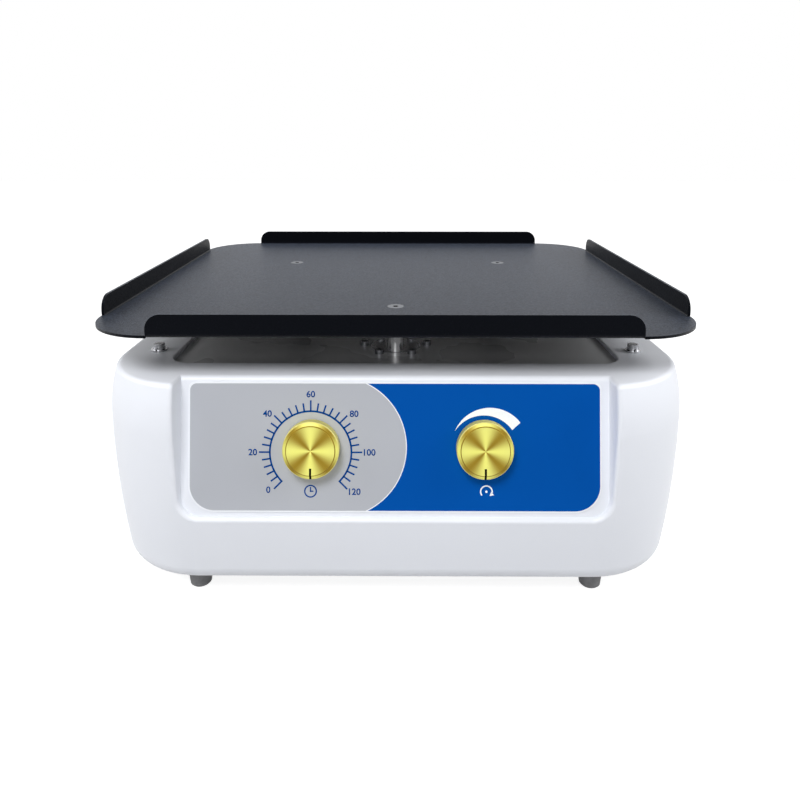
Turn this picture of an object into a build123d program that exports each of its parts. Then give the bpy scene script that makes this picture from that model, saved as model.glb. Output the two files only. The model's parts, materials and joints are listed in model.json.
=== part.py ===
"""Orbital laboratory shaker: a rimmed platform on three eccentric cranks, over a moulded housing.

Millimetres, +Z up, front towards -Y. The origin is on the resting surface, under the middle of the
housing. At rest the three crank pins point to the front, so the platform stands that far forward.
"""

import math
import os

from build123d import *

os.makedirs("parts", exist_ok=True)

# Housing shell, at its widest, and the curves of its sides
housing_width = 323.0
housing_depth = 328.0
housing_height = 111.0
housing_corner = 56.0
widest_below_top = 26.0
shoulder_radius = 85.0
skirt_radius = 500.0
top_round = 3.0
low_round = 10.0
side_wall = 3.0
top_wall = 2.3

# Slanted control panel, sunk into the front of the housing
panel_side = 49.8
panel_drop = 71.8
panel_depth = 16.6
panel_tilt = 9.25
panel_corner = 10.0
panel_draft = 6.0
panel_rim_round = 2.0
overlay_side = 4.0
overlay_height = 67.6
overlay_below_top = 2.8
overlay_thickness = 0.4
overlay_low_corner = 14.0
overlay_top_corner = 3.2
controls_below_top = 36.5
timer_x = -43.0
speed_x = 46.5

# Opening in the top of the housing, and the deck plate under it
opening_side = 35.5
opening_end = 38.0
opening_corner = 12.0
opening_edge_round = 0.8
deck_side = 15.5
deck_end = 24.0
deck_corner = 10.0
deck_thickness = 3.0

# Base plate and the lip that it fits under
base_thickness = 1.5
base_margin = 1.0
lip_overlap = 10.0
vent_count = 7
vent_length = 46.0
vent_width = 4.0
vent_pitch = 9.0

# Feet
foot_height = 13.5
foot_top_radius = 7.4
foot_low_radius = 5.8
foot_side = 52.2
foot_end = 27.0
foot_recess = 6.0
foot_wall = 2.2
foot_edge = 0.8
foot_screw_radius = 3.2
foot_screw_head = 2.2

# Posts at the corners, with the screws that hold the housing down on the deck
post_side = 23.0
post_end = 60.0
post_radius = 5.0
corner_grip = 8.0
corner_head_radius = 3.2
corner_head_height = 2.2
washer_radius = 4.7
washer_thickness = 0.8
spring_radius = 3.5
spring_thickness = 1.1
spring_split = 0.7
spring_lean = 35.0

# Platform: folded sheet with four raised edges
platform_width = 330.0
platform_depth = 292.0
platform_corner = 38.5
platform_sheet = 1.5
platform_rise = 25.3
rim_height = 12.5
rim_end_round = 8.0
bend_radius = 1.0

# The three crank stations and their throw
station_circle = 91.3
station_shift = 5.5
crank_throw = 10.0
crank_disc_radius = 15.3
crank_disc_thickness = 6.0
pin_radius = 5.0
shaft_tail = 12.0
crank_edge = 0.6
pin_edge = 0.4

# Ball bearings: bore radius, outer radius and width
main_bore = 6.0
main_outer = 14.0
main_width = 8.0
pin_bore = 4.0
pin_outer = 11.0
pin_width = 7.0

# Bearing housings under the deck, and the hubs under the platform
cartridge_radius = 18.0
cartridge_length = 28.0
cartridge_flange_radius = 25.0
cartridge_flange = 5.0
cartridge_screw_circle = 19.0
cartridge_screws = 6
cartridge_thread = 2.5
cartridge_head_radius = 2.6
cartridge_head_height = 2.5
cartridge_socket = 2.2
cartridge_lip = 1.5
cartridge_lip_width = 3.0
cartridge_edge = 1.0
cartridge_fillet = 2.0
bearing_dip = 0.4
spacer_wall = 2.0
spacer_fit = 0.05
hub_radius = 15.0
hub_cap = 5.0
hub_edge = 1.0
hub_relief = 0.5
hub_relief_width = 2.0
platform_thread = 5.0
platform_screw_head = 4.85
platform_socket = 3.0

# Belt drive
belt_centres = 100.0
belt_width = 8.0
belt_thickness = 1.6
crank_pulley_radius = 30.0
motor_pulley_radius = 12.0
pulley_flange = 1.6
pulley_flange_step = 3.0
pulley_hub_radius = 11.0
pulley_hub_drop = 6.0
pulley_taper = 0.2
pulley_hub_margin = 2.0
pulley_rim_margin = 4.0
pulley_holes = 6
motor_hub_radius = 9.0
shaft_end = 2.0

# Motor and its bracket
motor_radius = 30.0
motor_length = 50.0
motor_shaft_radius = 4.0
bracket_side = 92.0
bracket_thickness = 3.0
bracket_post_spread = 76.0
bracket_post_radius = 4.0
motor_screw_circle = 20.0
motor_screw_head_radius = 2.8
motor_screw_head_height = 1.6
motor_screw_depth = 5.0
spigot_radius = 10.0
bracket_corner = 8.0
bracket_head_radius = 3.0
bracket_head_height = 3.0
hex_socket = 2.5
bell_step = 1.5
bell_length = 8.0
bell_edge = 2.0
motor_bearing_wall = 4.0
motor_slots = 12
motor_slot_width = 4.0

# Counterweights
weight_radius = 27.0
weight_thickness = 8.0

# Grub screws of the weights and pulleys
grub_sunk = 0.6
grub_socket = 2.0
grub_socket_depth = 1.2

# Knobs and what they turn
knob_radius = 14.6
knob_face_radius = 12.8
knob_height = 7.5
knob_bore_radius = 9.5
knob_hollow = 3.6
knob_lift = 0.6
knob_shoulder = 1.6
knob_edge = 0.5
knob_dish = 0.3
knob_top_wall = 2.0
pointer_width = 0.9
pointer_start = 8.8
pointer_depth = 0.45
control_shaft_radius = 3.0
control_shaft_depth = 6.0
control_bush_radius = 4.7
control_bush_reach = 3.6
nut_across = 14.0
nut_thickness = 2.4
timer_side = 44.0
timer_depth = 25.0
timer_corner = 3.0
spring_case_radius = 18.0
spring_case_depth = 5.0
timer_terminal_x = 12.0
pot_radius = 12.0
pot_depth = 11.0
pot_board = (18.0, 14.0, 1.6)
pot_pin = (2.4, 7.0, 1.0)
pot_pin_pitch = 5.0

# Rear connector pocket, with the mains inlet, the fuse holder and the switch
pocket_x = 70.0
pocket_above_base = 48.5
pocket_width = 116.0
pocket_height = 38.0
pocket_corner = 5.0
rear_gap = 0.5
pocket_sink = 3.5
inlet_x = 98.0
fuse_x = 56.0
switch_x = 30.0
fuse_radius = 6.0
fuse_length = 25.5
fuse_flange_radius = 8.5
fuse_flange = 1.6
fuse_cap_radius = 7.4
fuse_cap_height = 7.0
fuse_plug_radius = 4.8
fuse_plug_length = 6.0
fuse_gap = 0.2
fuse_end = 1.5
fuse_slot = 1.4
inlet_width = 27.0
inlet_height = 19.5
inlet_depth = 21.0
inlet_wall = 1.3
inlet_flange_width = 50.0
inlet_flange_height = 25.0
inlet_flange = 2.5
inlet_screw_pitch = 40.0
inlet_socket_depth = 17.0
inlet_key = 4.0
inlet_corner = 4.0
inlet_screw_length = 8.0
blade_size = (2.0, 4.0, 12.0)
blade_places = ((-7.0, 1.5), (0.0, -2.5), (7.0, 1.5))
switch_width = 15.0
switch_height = 21.0
switch_flange = 1.5
switch_depth = 16.0
switch_body_width = 13.0
switch_body_height = 19.0
switch_corner = 1.0
switch_terminal_y = 6.0
terminal_width = 6.3
terminal_thickness = 0.8
terminal_length = 8.0
rocker_tilt = 8.0
rocker_width = 9.0
rocker_reach = 8.2
rocker_pin_radius = 1.2
rocker_pin_length = 1.0
rocker_pivot = -1.5
rocker_well = 6.0
rocker_end_gap = 0.3
rocker_low = -1.0
rocker_crest = 2.6
rocker_middle = 1.7
rocker_belly = (3.0, -4.0)

# Transformer and control board on the base plate
electrics_side = 79.5
transformer_y = -36.0
core_width = 48.0
core_depth = 24.0
core_height = 40.0
core_limb = 8.0
window_width = 9.0
strap_thickness = 1.0
strap_width = 68.0
strap_depth = 20.0
strap_screw_pitch = 58.0
coil_width = 33.0
coil_depth = 44.0
coil_corner = 4.0
coil_gap = 0.3
board_y = -34.0
board_width = 92.0
board_depth = 64.0
board_thickness = 1.6
board_corner = 2.0
board_lift = 8.0
board_screw_inset = 4.0
board_spacer_radius = 3.0
capacitor_radius = 8.0
capacitor_height = 25.0
capacitor_places = ((-14.0, 18.0), (6.0, 18.0))
terminal_block = (40.0, 9.0, 11.0)
terminal_block_place = (-6.0, -24.0)
controller_chip = (14.0, 10.0, 3.0)
controller_chip_place = (8.0, -6.0)
sink_width = 14.0
sink_length = 44.0
sink_height = 30.0
sink_x = 32.0
sink_plate = 5.0
sink_slots = 5
sink_slot_width = 4.0
sink_slot_pitch = 8.0
sink_floor = 2.0

# Screws: threads, and the gaps round them as radii
m3 = 3.0
m4 = 4.0
clear_gap = 0.2
tap_gap = 0.05
tapped_depth = 12.0
screw_head_radius = 2.8
screw_head_height = 1.8
socket_floor = 0.5
slot_share = 0.3

# Fits and clearances, and how far a cut runs past a face
running_fit = 0.04
belt_gap = 0.1
clearance = 0.3
part_gap = 1.0
over = 1.0
cut_reach = 40.0

# Widths, depths and places tied to the housing
panel_width = housing_width - 2 * panel_side
overlay_width = panel_width - 2 * overlay_side
opening_width = housing_width - 2 * opening_side
opening_depth = housing_depth - 2 * opening_end
deck_width = housing_width - 2 * deck_side
deck_depth = housing_depth - 2 * deck_end
foot_x = housing_width / 2 - foot_side
foot_y = housing_depth / 2 - foot_end
post_x = housing_width / 2 - post_side
post_y = housing_depth / 2 - post_end
pocket_reach = housing_depth / 2 - pocket_sink
board_x = housing_width / 2 - electrics_side
transformer_x = -board_x

# Heights worked out from the sizes above
z_base = foot_height
z_pocket = z_base + pocket_above_base
z_top = z_base + housing_height
z_widest = z_top - widest_below_top
z_deck = z_top - top_wall
z_deck_low = z_deck - deck_thickness
z_floor = z_base + base_thickness
z_lip = z_base + side_wall
z_platform = z_deck + platform_rise
z_disc_low = z_deck - crank_disc_thickness
z_main_top = z_disc_low - clearance
z_cartridge_low = z_deck_low - cartridge_length
z_seat = z_cartridge_low + cartridge_lip
z_pulley_top = z_cartridge_low - part_gap
pulley_width = belt_width + 2 * pulley_flange + 2 * clearance
z_pulley_low = z_pulley_top - pulley_width
z_bracket = z_pulley_low - 2 * part_gap
z_motor = z_bracket - bracket_thickness
z_pin_bearing = z_platform - hub_cap - pin_width
z_shoulder = z_pin_bearing - belt_gap
z_pin_top = z_pin_bearing + pin_width - clearance
z_shaft_low = z_pulley_low - shaft_tail

# Base plate outline, from the flat under the housing
skirt_inset = skirt_radius - math.sqrt(skirt_radius**2 - (z_widest - z_base) ** 2)
flat_inset = skirt_inset + low_round + base_margin
base_width = housing_width - 2 * flat_inset
base_depth = housing_depth - 2 * flat_inset
base_corner = housing_corner - flat_inset

# Front panel plane: x to the right, y up the panel, z out of it
panel_lean = math.radians(panel_tilt)
panel_normal = (0, -math.cos(panel_lean), math.sin(panel_lean))
panel_origin = (0, panel_depth - housing_depth / 2, z_top)
panel = Plane(origin=panel_origin, x_dir=(1, 0, 0), z_dir=panel_normal)
panel_length = panel_drop / math.cos(panel_lean)
knob_seat = overlay_thickness + knob_lift

# Rear connector pocket: x to the left seen from the front, y up, z out of the housing
rear = Plane(origin=(0, pocket_reach, z_pocket), x_dir=(-1, 0, 0), z_dir=(0, 1, 0))
z_socket = inlet_flange - inlet_socket_depth


def station(angle):
    """Middle of the crank shaft at an angle round the station circle."""
    turn = math.radians(angle)
    return station_circle * math.cos(turn), station_shift + station_circle * math.sin(turn)


stations = {"front": station(-90), "right": station(30), "left": station(150)}
motor_y = stations["front"][1] + belt_centres
corners = [(x, y) for x in (-1, 1) for y in (-1, 1)]


def round_bar(radius, z_low, z_high, x=0.0, y=0.0):
    """Upright cylinder between two heights."""
    return Pos(x, y, z_low) * extrude(Circle(radius), z_high - z_low)


def round_ring(outer, inner, z_low, z_high, x=0.0, y=0.0):
    """Upright ring between two heights."""
    return Pos(x, y, z_low) * extrude(Circle(outer) - Circle(inner), z_high - z_low)


def slab(width, depth, z_low, z_high, corner=0.0, x=0.0, y=0.0):
    """Upright block, with rounded corners where a radius is given."""
    outline = RectangleRounded(width, depth, corner) if corner else Rectangle(width, depth)
    return Pos(x, y, z_low) * extrude(outline, z_high - z_low)


def clear_hole(thread, z_low, z_high, x, y):
    """Cutter for a hole that a screw passes through."""
    return round_bar(thread / 2 + clear_gap, z_low - over, z_high + over, x, y)


def tapped_hole(thread, z_low, z_high, x=0.0, y=0.0):
    """Cutter for a threaded hole, its ends as given."""
    return round_bar(thread / 2 + tap_gap, z_low, z_high, x, y)


def turned(points):
    """Solid turned about Z from an outline of (radius, height) points."""
    return revolve(Plane.XZ * make_face(Polyline(*points, close=True)), Axis.Z)


def hexagon_bar(across, z_low, z_high):
    """Upright hexagonal bar, by its size across the flats."""
    return Pos(0, 0, z_low) * extrude(RegularPolygon(across / math.sqrt(3), 6), z_high - z_low)


def cap_screw(thread, length, head_radius, head_height, socket):
    """Cylinder-head screw with a hexagon socket: the head stands on z = 0, the shank points down."""
    screw = round_bar(thread / 2, -length, 0) + round_bar(head_radius, 0, head_height)
    return screw - hexagon_bar(socket, head_height * socket_floor, head_height + over)


def cheese_screw(thread, length, head_radius, head_height):
    """Slotted cheese-head screw, standing on z = 0."""
    slot_width = head_radius * slot_share
    slot = slab(2 * head_radius + over, slot_width, head_height * socket_floor, head_height + over)
    return round_bar(thread / 2, -length, 0) + round_bar(head_radius, 0, head_height) - slot


def countersunk_screw(thread, length, head_radius, socket):
    """Countersunk screw with its flat head level with z = 0."""
    neck = thread / 2
    screw = turned([(0, -length), (neck, -length), (neck, neck - head_radius), (head_radius, 0), (0, 0)])
    return screw - hexagon_bar(socket, neck - head_radius, over)


def save(name, *pieces):
    """Write one node, as a group where it has several solids."""
    node = pieces[0] if len(pieces) == 1 else Compound(children=list(pieces))
    export_step(node, f"parts/{name}.step")


# Housing shell
def side_inset(z, shrink):
    """How far the side stands in from its widest at a height, on the outer or an inner surface."""
    radius = (shoulder_radius if z > z_widest else skirt_radius) - shrink
    return radius - math.sqrt(radius**2 - (z - z_widest) ** 2)


def side_section(reach, shrink, z_low, z_high, round_at_low, round_at_high):
    """Half section in XZ, from x = 0 out to the curved side, with its corners rounded."""

    def side_point(z):
        return reach - side_inset(z, shrink), z

    low, wide, high = side_point(z_low), side_point(z_widest), side_point(z_high)
    outline = [
        Line((0, z_low), low),
        ThreePointArc(low, side_point((z_low + z_widest) / 2), wide),
        ThreePointArc(wide, side_point((z_high + z_widest) / 2), high),
        Line(high, (0, z_high)),
        Line((0, z_high), (0, z_low)),
    ]
    section = make_face(outline)
    for corner, radius in ((low, round_at_low), (high, round_at_high)):
        if radius:
            section = fillet(section.vertices().sort_by_distance((*corner, 0))[0], radius)
    return Plane.XZ * section


def barrel(shrink, z_low, z_high, round_at_low, round_at_high):
    """The housing's body of four curved sides, whole or shrunk to its inner surface."""
    corner = housing_corner - shrink
    core_x = housing_width / 2 - shrink - corner
    core_y = housing_depth / 2 - shrink - corner
    across = side_section(core_x + corner, shrink, z_low, z_high, round_at_low, round_at_high)
    middle = extrude(across, core_y, both=True)
    body = middle + mirror(middle, Plane.YZ)
    edge = side_section(corner, shrink, z_low, z_high, round_at_low, round_at_high)
    end = extrude(Rot(0, 0, 90) * edge, core_x, both=True)
    body += [Pos(0, core_y, 0) * end, Rot(0, 0, 180) * Pos(0, core_y, 0) * end]
    quarter = revolve(edge, Axis.Z, 90)
    for turn, (x, y) in enumerate(((1, 1), (-1, 1), (-1, -1), (1, -1))):
        body += Pos(x * core_x, y * core_y, 0) * Rot(0, 0, 90 * turn) * quarter
    return body


def panel_block(grow, back, front, draft=0.0):
    """Block on the panel plane over the recess, from behind the plane to in front of it."""
    height = panel_length + cut_reach + 2 * grow
    outline = RectangleRounded(panel_width + 2 * grow, height, panel_corner + grow)
    middle = (cut_reach - panel_length) / 2
    return extrude(panel * Pos(0, middle, back) * outline, front - back, taper=-draft)


def pocket_block(grow, back, front):
    """Block over the rear connector pocket."""
    outline = RectangleRounded(pocket_width + 2 * grow, pocket_height + 2 * grow, pocket_corner + grow)
    return extrude(rear * Pos(-pocket_x, 0, back) * outline, front - back)


def on_panel_rim(edge):
    """Whether an edge lies on the outer rim of the panel recess."""
    x, y, z = panel.to_local_coords(edge.center())
    return abs(x) < panel_width / 2 + panel_corner / 2 and y > -panel_length - panel_corner and z > 2


def on_opening(edge):
    """Whether an edge lies on the top rim of the deck opening."""
    x, y, z = edge.center()
    return abs(x) < opening_width / 2 + 1 and abs(y) < opening_depth / 2 + 1 and z > z_top - 0.1


def make_housing():
    housing = barrel(0, z_base, z_top, low_round, top_round) - panel_block(0, 0, cut_reach, panel_draft)
    edge = housing.edges().filter_by(Axis.X).sort_by_distance(panel_origin)[0]
    housing = fillet(edge, top_round)
    housing = fillet(housing.edges().filter_by(on_panel_rim), panel_rim_round)
    cavity = barrel(side_wall, z_lip, z_deck, low_round - side_wall, 0)
    cavity -= panel_block(side_wall, -side_wall, cut_reach)
    cavity -= pocket_block(side_wall, -side_wall, cut_reach)
    housing -= cavity
    housing -= pocket_block(0, 0, cut_reach)
    housing -= slab(opening_width, opening_depth, z_deck - 1, z_top + 1, opening_corner)
    housing = fillet(housing.edges().filter_by(on_opening), opening_edge_round)
    hole_width, hole_depth = base_width - 2 * lip_overlap, base_depth - 2 * lip_overlap
    housing -= slab(hole_width, hole_depth, z_base - over, z_lip + over, base_corner)
    seat_width, seat_depth = base_width + 2 * clearance, base_depth + 2 * clearance
    housing -= slab(seat_width, seat_depth, z_base - over, z_base + base_thickness, base_corner + clearance)
    for x, y in corners:
        housing -= clear_hole(m3, z_base, z_top, x * post_x, y * post_y)
        housing -= tapped_hole(m4, z_base, z_lip + over, x * foot_x, y * foot_y)
    bush_hole = extrude(Circle(control_bush_radius + clearance), side_wall + 2 * over)
    housing -= [on_panel(x, -side_wall - over, bush_hole) for x in (timer_x, speed_x)]
    gap = 2 * rear_gap
    openings = [
        (inlet_x, Rectangle(inlet_width + gap, inlet_height + gap)),
        (inlet_x - inlet_screw_pitch / 2, Circle(m3 / 2 + clear_gap)),
        (inlet_x + inlet_screw_pitch / 2, Circle(m3 / 2 + clear_gap)),
        (fuse_x, Circle(fuse_radius + clearance)),
        (switch_x, Rectangle(switch_body_width + gap, switch_body_height + gap)),
    ]
    return housing - [on_rear(x, -2 * side_wall, extrude(outline, 3 * side_wall)) for x, outline in openings]


# Chassis: deck plate, base plate, posts and feet
def make_deck():
    deck = slab(deck_width, deck_depth, z_deck_low, z_deck, deck_corner)
    disc_hole = crank_disc_radius + clearance
    holes = [round_bar(disc_hole, z_deck_low - over, z_deck + over, x, y) for x, y in stations.values()]
    holes += [clear_hole(cartridge_thread, z_deck_low, z_deck, x, y) for x, y in cartridge_screw_places()]
    holes += [clear_hole(m3, z_deck_low, z_deck, x * post_x, y * post_y) for x, y in corners]
    return deck - holes


def make_base():
    base = slab(base_width, base_depth, z_base, z_base + base_thickness, base_corner)
    slots = []
    for row in range(vent_count):
        y = (row - (vent_count - 1) / 2) * vent_pitch + motor_y
        outline = SlotOverall(vent_length, vent_width)
        slots.append(Pos(0, y, z_base - over) * extrude(outline, base_thickness + 2 * over))
    holes = [clear_hole(m3, z_base, z_floor, x * post_x, y * post_y) for x, y in corners]
    holes += [clear_hole(m4, z_base, z_floor, x * foot_x, y * foot_y) for x, y in corners]
    places = board_screw_places() + transformer_screw_places()
    holes += [clear_hole(m3, z_base, z_floor, x, y) for x, y in places]
    return base - slots - holes


def make_posts():
    post = round_bar(post_radius, z_lip, z_deck_low)
    post -= tapped_hole(m3, z_deck_low - tapped_depth, z_deck_low + over)
    post -= tapped_hole(m3, z_lip - over, z_lip + tapped_depth)
    return [Pos(x * post_x, y * post_y, 0) * post for x, y in corners]


def make_corner_fixings():
    """Flat washer, spring washer and slotted screw on top of the housing, at each corner."""
    bore = m3 / 2 + clear_gap
    washer_top = z_top + washer_thickness
    spring_top = washer_top + spring_thickness
    flat = round_ring(washer_radius, bore, z_top, washer_top)
    spring = round_ring(spring_radius, bore, washer_top, spring_top)
    split = Box(spring_radius, spring_split, 3 * spring_thickness)
    middle = Pos(0, -spring_radius, (washer_top + spring_top) / 2)
    spring -= middle * Rot(0, spring_lean, 0) * Rot(0, 0, 90) * split
    length = spring_top - z_deck_low + corner_grip
    screw = Pos(0, 0, spring_top) * cheese_screw(m3, length, corner_head_radius, corner_head_height)
    places = [Pos(x * post_x, y * post_y, 0) for x, y in corners]
    return [[place * part for place in places] for part in (flat, spring, screw)]


def make_base_screws():
    screw = cheese_screw(m3, side_wall + corner_grip, screw_head_radius, screw_head_height)
    screw = Pos(0, 0, z_base) * Rot(180, 0, 0) * screw
    return [Pos(x * post_x, y * post_y, 0) * screw for x, y in corners]


def make_feet():
    bore = m4 / 2 + clear_gap
    recess_radius = foot_low_radius - foot_wall
    foot = turned([
        (bore, foot_recess), (recess_radius, foot_recess), (recess_radius, 0),
        (foot_low_radius - foot_edge, 0), (foot_low_radius, foot_edge), (foot_top_radius, z_base),
        (bore, z_base),
    ])
    screw = cheese_screw(m4, z_lip - foot_recess + over, foot_screw_radius, foot_screw_head)
    screw = Pos(0, 0, foot_recess) * Rot(180, 0, 0) * screw
    places = [Pos(x * foot_x, y * foot_y, 0) for x, y in corners]
    return [[place * part for place in places] for part in (foot, screw)]


# Crank bearings
def cartridge_screw_places():
    """Places of the screws that hold the three bearing housings under the deck."""
    step = 2 * math.pi / cartridge_screws
    turns = [index * step for index in range(cartridge_screws)]
    reach = cartridge_screw_circle
    ring = [(reach * math.cos(turn), reach * math.sin(turn)) for turn in turns]
    return [(x + dx, y + dy) for x, y in stations.values() for dx, dy in ring]


def make_cartridges():
    """Flanged bearing housings: a seat for two bearings under a recess for the crank disc."""
    disc = crank_disc_radius + clearance
    low = z_cartridge_low
    z_flange = z_deck_low - cartridge_flange
    throat = main_outer - cartridge_lip_width
    body = turned([
        (throat, low), (cartridge_radius - cartridge_edge, low), (cartridge_radius, low + cartridge_edge),
        (cartridge_radius, z_flange - cartridge_fillet), (cartridge_radius + cartridge_fillet, z_flange),
        (cartridge_flange_radius, z_flange), (cartridge_flange_radius, z_deck_low), (disc, z_deck_low),
        (disc, z_main_top), (main_outer, z_main_top), (main_outer, z_seat), (throat, z_seat),
    ])
    hole = tapped_hole(cartridge_thread, z_flange - over, z_deck_low + over)
    x_front, y_front = stations["front"]
    body -= [Pos(x - x_front, y - y_front, 0) * hole for x, y in cartridge_screw_places()[:cartridge_screws]]
    return [Pos(x, y, 0) * body for x, y in stations.values()]


def bearing(bore, outer, width):
    """Ball bearing with a sunk shield on each side, from z = 0 up."""
    wall = outer - bore
    inner_race = bore + wall / 4
    outer_race = outer - wall / 4
    dip = bearing_dip
    return turned([
        (bore, 0), (inner_race, 0), (inner_race, dip), (outer_race, dip), (outer_race, 0), (outer, 0),
        (outer, width), (outer_race, width), (outer_race, width - dip), (inner_race, width - dip),
        (inner_race, width), (bore, width),
    ])


def make_main_bearings():
    seats = (z_seat, z_main_top - main_width)
    race = bearing(main_bore, main_outer, main_width)
    return [Pos(x, y, z) * race for x, y in stations.values() for z in seats]


def make_spacers():
    """Spacer tubes between the outer races of each pair of bearings."""
    low, high = z_seat + main_width, z_main_top - main_width
    ring = round_ring(main_outer - spacer_fit, main_outer - spacer_wall, low, high)
    return [Pos(x, y, 0) * ring for x, y in stations.values()]


def make_cartridge_screws():
    length = deck_thickness + cartridge_flange
    head = (cartridge_head_radius, cartridge_head_height, cartridge_socket)
    screw = Pos(0, 0, z_deck) * cap_screw(cartridge_thread, length, *head)
    return [Pos(x, y, 0) * screw for x, y in cartridge_screw_places()]


# Cranks, each a disc with a shaft below and a stepped pin above
def make_crank(x, y):
    shaft = main_bore - running_fit
    crank = turned([
        (0, z_shaft_low), (shaft - crank_edge, z_shaft_low), (shaft, z_shaft_low + crank_edge),
        (shaft, z_disc_low), (crank_disc_radius, z_disc_low), (crank_disc_radius, z_deck - crank_edge),
        (crank_disc_radius - crank_edge, z_deck), (0, z_deck),
    ])
    journal = pin_bore - running_fit
    pin = turned([
        (0, z_deck - over), (pin_radius, z_deck - over), (pin_radius, z_shoulder - pin_edge),
        (pin_radius - pin_edge, z_shoulder), (journal, z_shoulder), (journal, z_pin_top - pin_edge),
        (journal - pin_edge, z_pin_top), (0, z_pin_top),
    ])
    return Pos(x, y, 0) * (crank + Pos(0, -crank_throw, 0) * pin)


def make_weight(x, y, z_high):
    """Half-round counterweight on a clamping hub, opposite the crank pin."""
    low = z_high - weight_thickness
    half = slab(2 * weight_radius, weight_radius, low, z_high, 0, 0, weight_radius / 2)
    weight = round_bar(weight_radius, low, z_high) & half
    weight += round_bar(pulley_hub_radius, low, z_high)
    weight -= round_bar(main_bore - running_fit, low - over, z_high + over)
    weight -= grub_hole(pulley_hub_radius, (low + z_high) / 2)
    return Pos(x, y, 0) * weight


def grub_hole(hub, z):
    """Cutter for a grub screw, from in front of a hub to its middle."""
    return Pos(0, -hub - over, z) * Rot(-90, 0, 0) * tapped_hole(m3, 0, hub + over)


def set_screw(x, y, z, bore, hub):
    """Grub screw in a hub, pointing at the shaft from the front."""
    length = hub - bore - grub_sunk
    screw = tapped_hole(m3, 0, length) - hexagon_bar(grub_socket, length - grub_socket_depth, length + over)
    return Pos(x, y - bore, z) * Rot(90, 0, 0) * screw


# Belt drive
def make_pulley(root, bore, hub, hub_low, hub_high):
    """Flanged pulley at the belt's height, with a hub that stands out below or above it."""
    low, high = z_pulley_low, z_pulley_top
    rim = root + pulley_flange_step
    wheel = turned([
        (bore, low), (rim, low), (rim, low + pulley_flange), (root, low + pulley_flange + pulley_taper),
        (root, high - pulley_flange - pulley_taper), (rim, high - pulley_flange), (rim, high), (bore, high),
    ])
    return wheel + round_ring(hub, bore, hub_low, hub_high)


def make_crank_pulley():
    x, y = stations["front"]
    hub_low = z_pulley_low - pulley_hub_drop
    bore = main_bore - running_fit
    pulley = make_pulley(crank_pulley_radius, bore, pulley_hub_radius, hub_low, z_pulley_top)
    web_inner = pulley_hub_radius + pulley_hub_margin
    web_outer = crank_pulley_radius - pulley_rim_margin
    hole_circle = (web_outer + web_inner) / 2
    hole = round_bar((web_outer - web_inner) / 2, z_pulley_low - over, z_pulley_top + over, hole_circle)
    pulley -= [Rot(0, 0, (index + 0.5) * 360 / pulley_holes) * hole for index in range(pulley_holes)]
    pulley -= grub_hole(pulley_hub_radius, (hub_low + z_pulley_low) / 2)
    return Pos(x, y, 0) * pulley


def make_motor_pulley():
    hub_high = z_pulley_top + pulley_hub_drop
    pulley = make_pulley(motor_pulley_radius, motor_shaft_radius, motor_hub_radius, z_pulley_low, hub_high)
    pulley -= grub_hole(motor_hub_radius, (z_pulley_top + hub_high) / 2)
    return Pos(0, motor_y, 0) * pulley


def make_belt():
    """Flat belt in its two straight runs and two wraps."""
    y_big, y_small = stations["front"][1], motor_y

    def loop(grow):
        big = Pos(0, y_big) * Circle(crank_pulley_radius + grow)
        small = Pos(0, y_small) * Circle(motor_pulley_radius + grow)
        return make_hull(big.edges() + small.edges())

    low = z_pulley_low + (pulley_width - belt_width) / 2
    outline = loop(belt_gap + belt_thickness) - loop(belt_gap)
    return Pos(0, 0, low) * extrude(outline, belt_width)


# Motor on its bracket, hung under the deck on four posts
bracket_places = [(x * bracket_post_spread / 2, motor_y + y * bracket_post_spread / 2) for x, y in corners]


def make_bracket():
    bracket = slab(bracket_side, bracket_side, z_motor, z_bracket, bracket_corner, 0, motor_y)
    places = bracket_places + motor_screw_places()
    holes = [clear_hole(m3, z_motor, z_bracket, x, y) for x, y in places]
    holes.append(round_bar(spigot_radius + clearance, z_motor - over, z_bracket + over, 0, motor_y))
    return bracket - holes


def make_bracket_posts():
    post = round_bar(bracket_post_radius, z_bracket, z_deck_low)
    post -= tapped_hole(m3, z_bracket - over, z_bracket + tapped_depth)
    return [Pos(x, y, 0) * post for x, y in bracket_places]


def make_bracket_screws():
    length = bracket_thickness + corner_grip
    screw = cap_screw(m3, length, bracket_head_radius, bracket_head_height, hex_socket)
    screw = Pos(0, 0, z_motor) * Rot(180, 0, 0) * screw
    return [Pos(x, y, 0) * screw for x, y in bracket_places]


def motor_screw_places():
    spread = motor_screw_circle / math.sqrt(2)
    return [(x * spread, motor_y + y * spread) for x, y in corners]


def make_motor():
    """Motor can with end bells, a spigot in the bracket and cooling slots round its middle."""
    low = z_motor - motor_length
    bell = motor_radius - bell_step
    shaft = motor_shaft_radius + running_fit
    z_blind = low + motor_bearing_wall
    can = turned([
        (shaft, z_blind), (shaft, z_bracket), (spigot_radius, z_bracket), (spigot_radius, z_motor),
        (bell - bell_edge, z_motor), (bell, z_motor - bell_edge), (bell, z_motor - bell_length),
        (motor_radius, z_motor - bell_length), (motor_radius, low + bell_length), (bell, low + bell_length),
        (bell, low + bell_edge), (bell - bell_edge, low), (spigot_radius, low),
        (spigot_radius, low - bell_edge), (0, low - bell_edge), (0, z_blind),
    ])
    slot = Pos(motor_radius, 0, (low + z_motor) / 2) * Box(2 * bell_step, motor_slot_width, motor_length / 2)
    can -= [Rot(0, 0, (index + 0.5) * 360 / motor_slots) * slot for index in range(motor_slots)]
    z_tapped = z_motor - motor_screw_depth - clearance
    holes = [tapped_hole(m3, z_tapped, z_motor + over, x, y) for x, y in motor_screw_places()]
    return Pos(0, motor_y, 0) * can - holes


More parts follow.
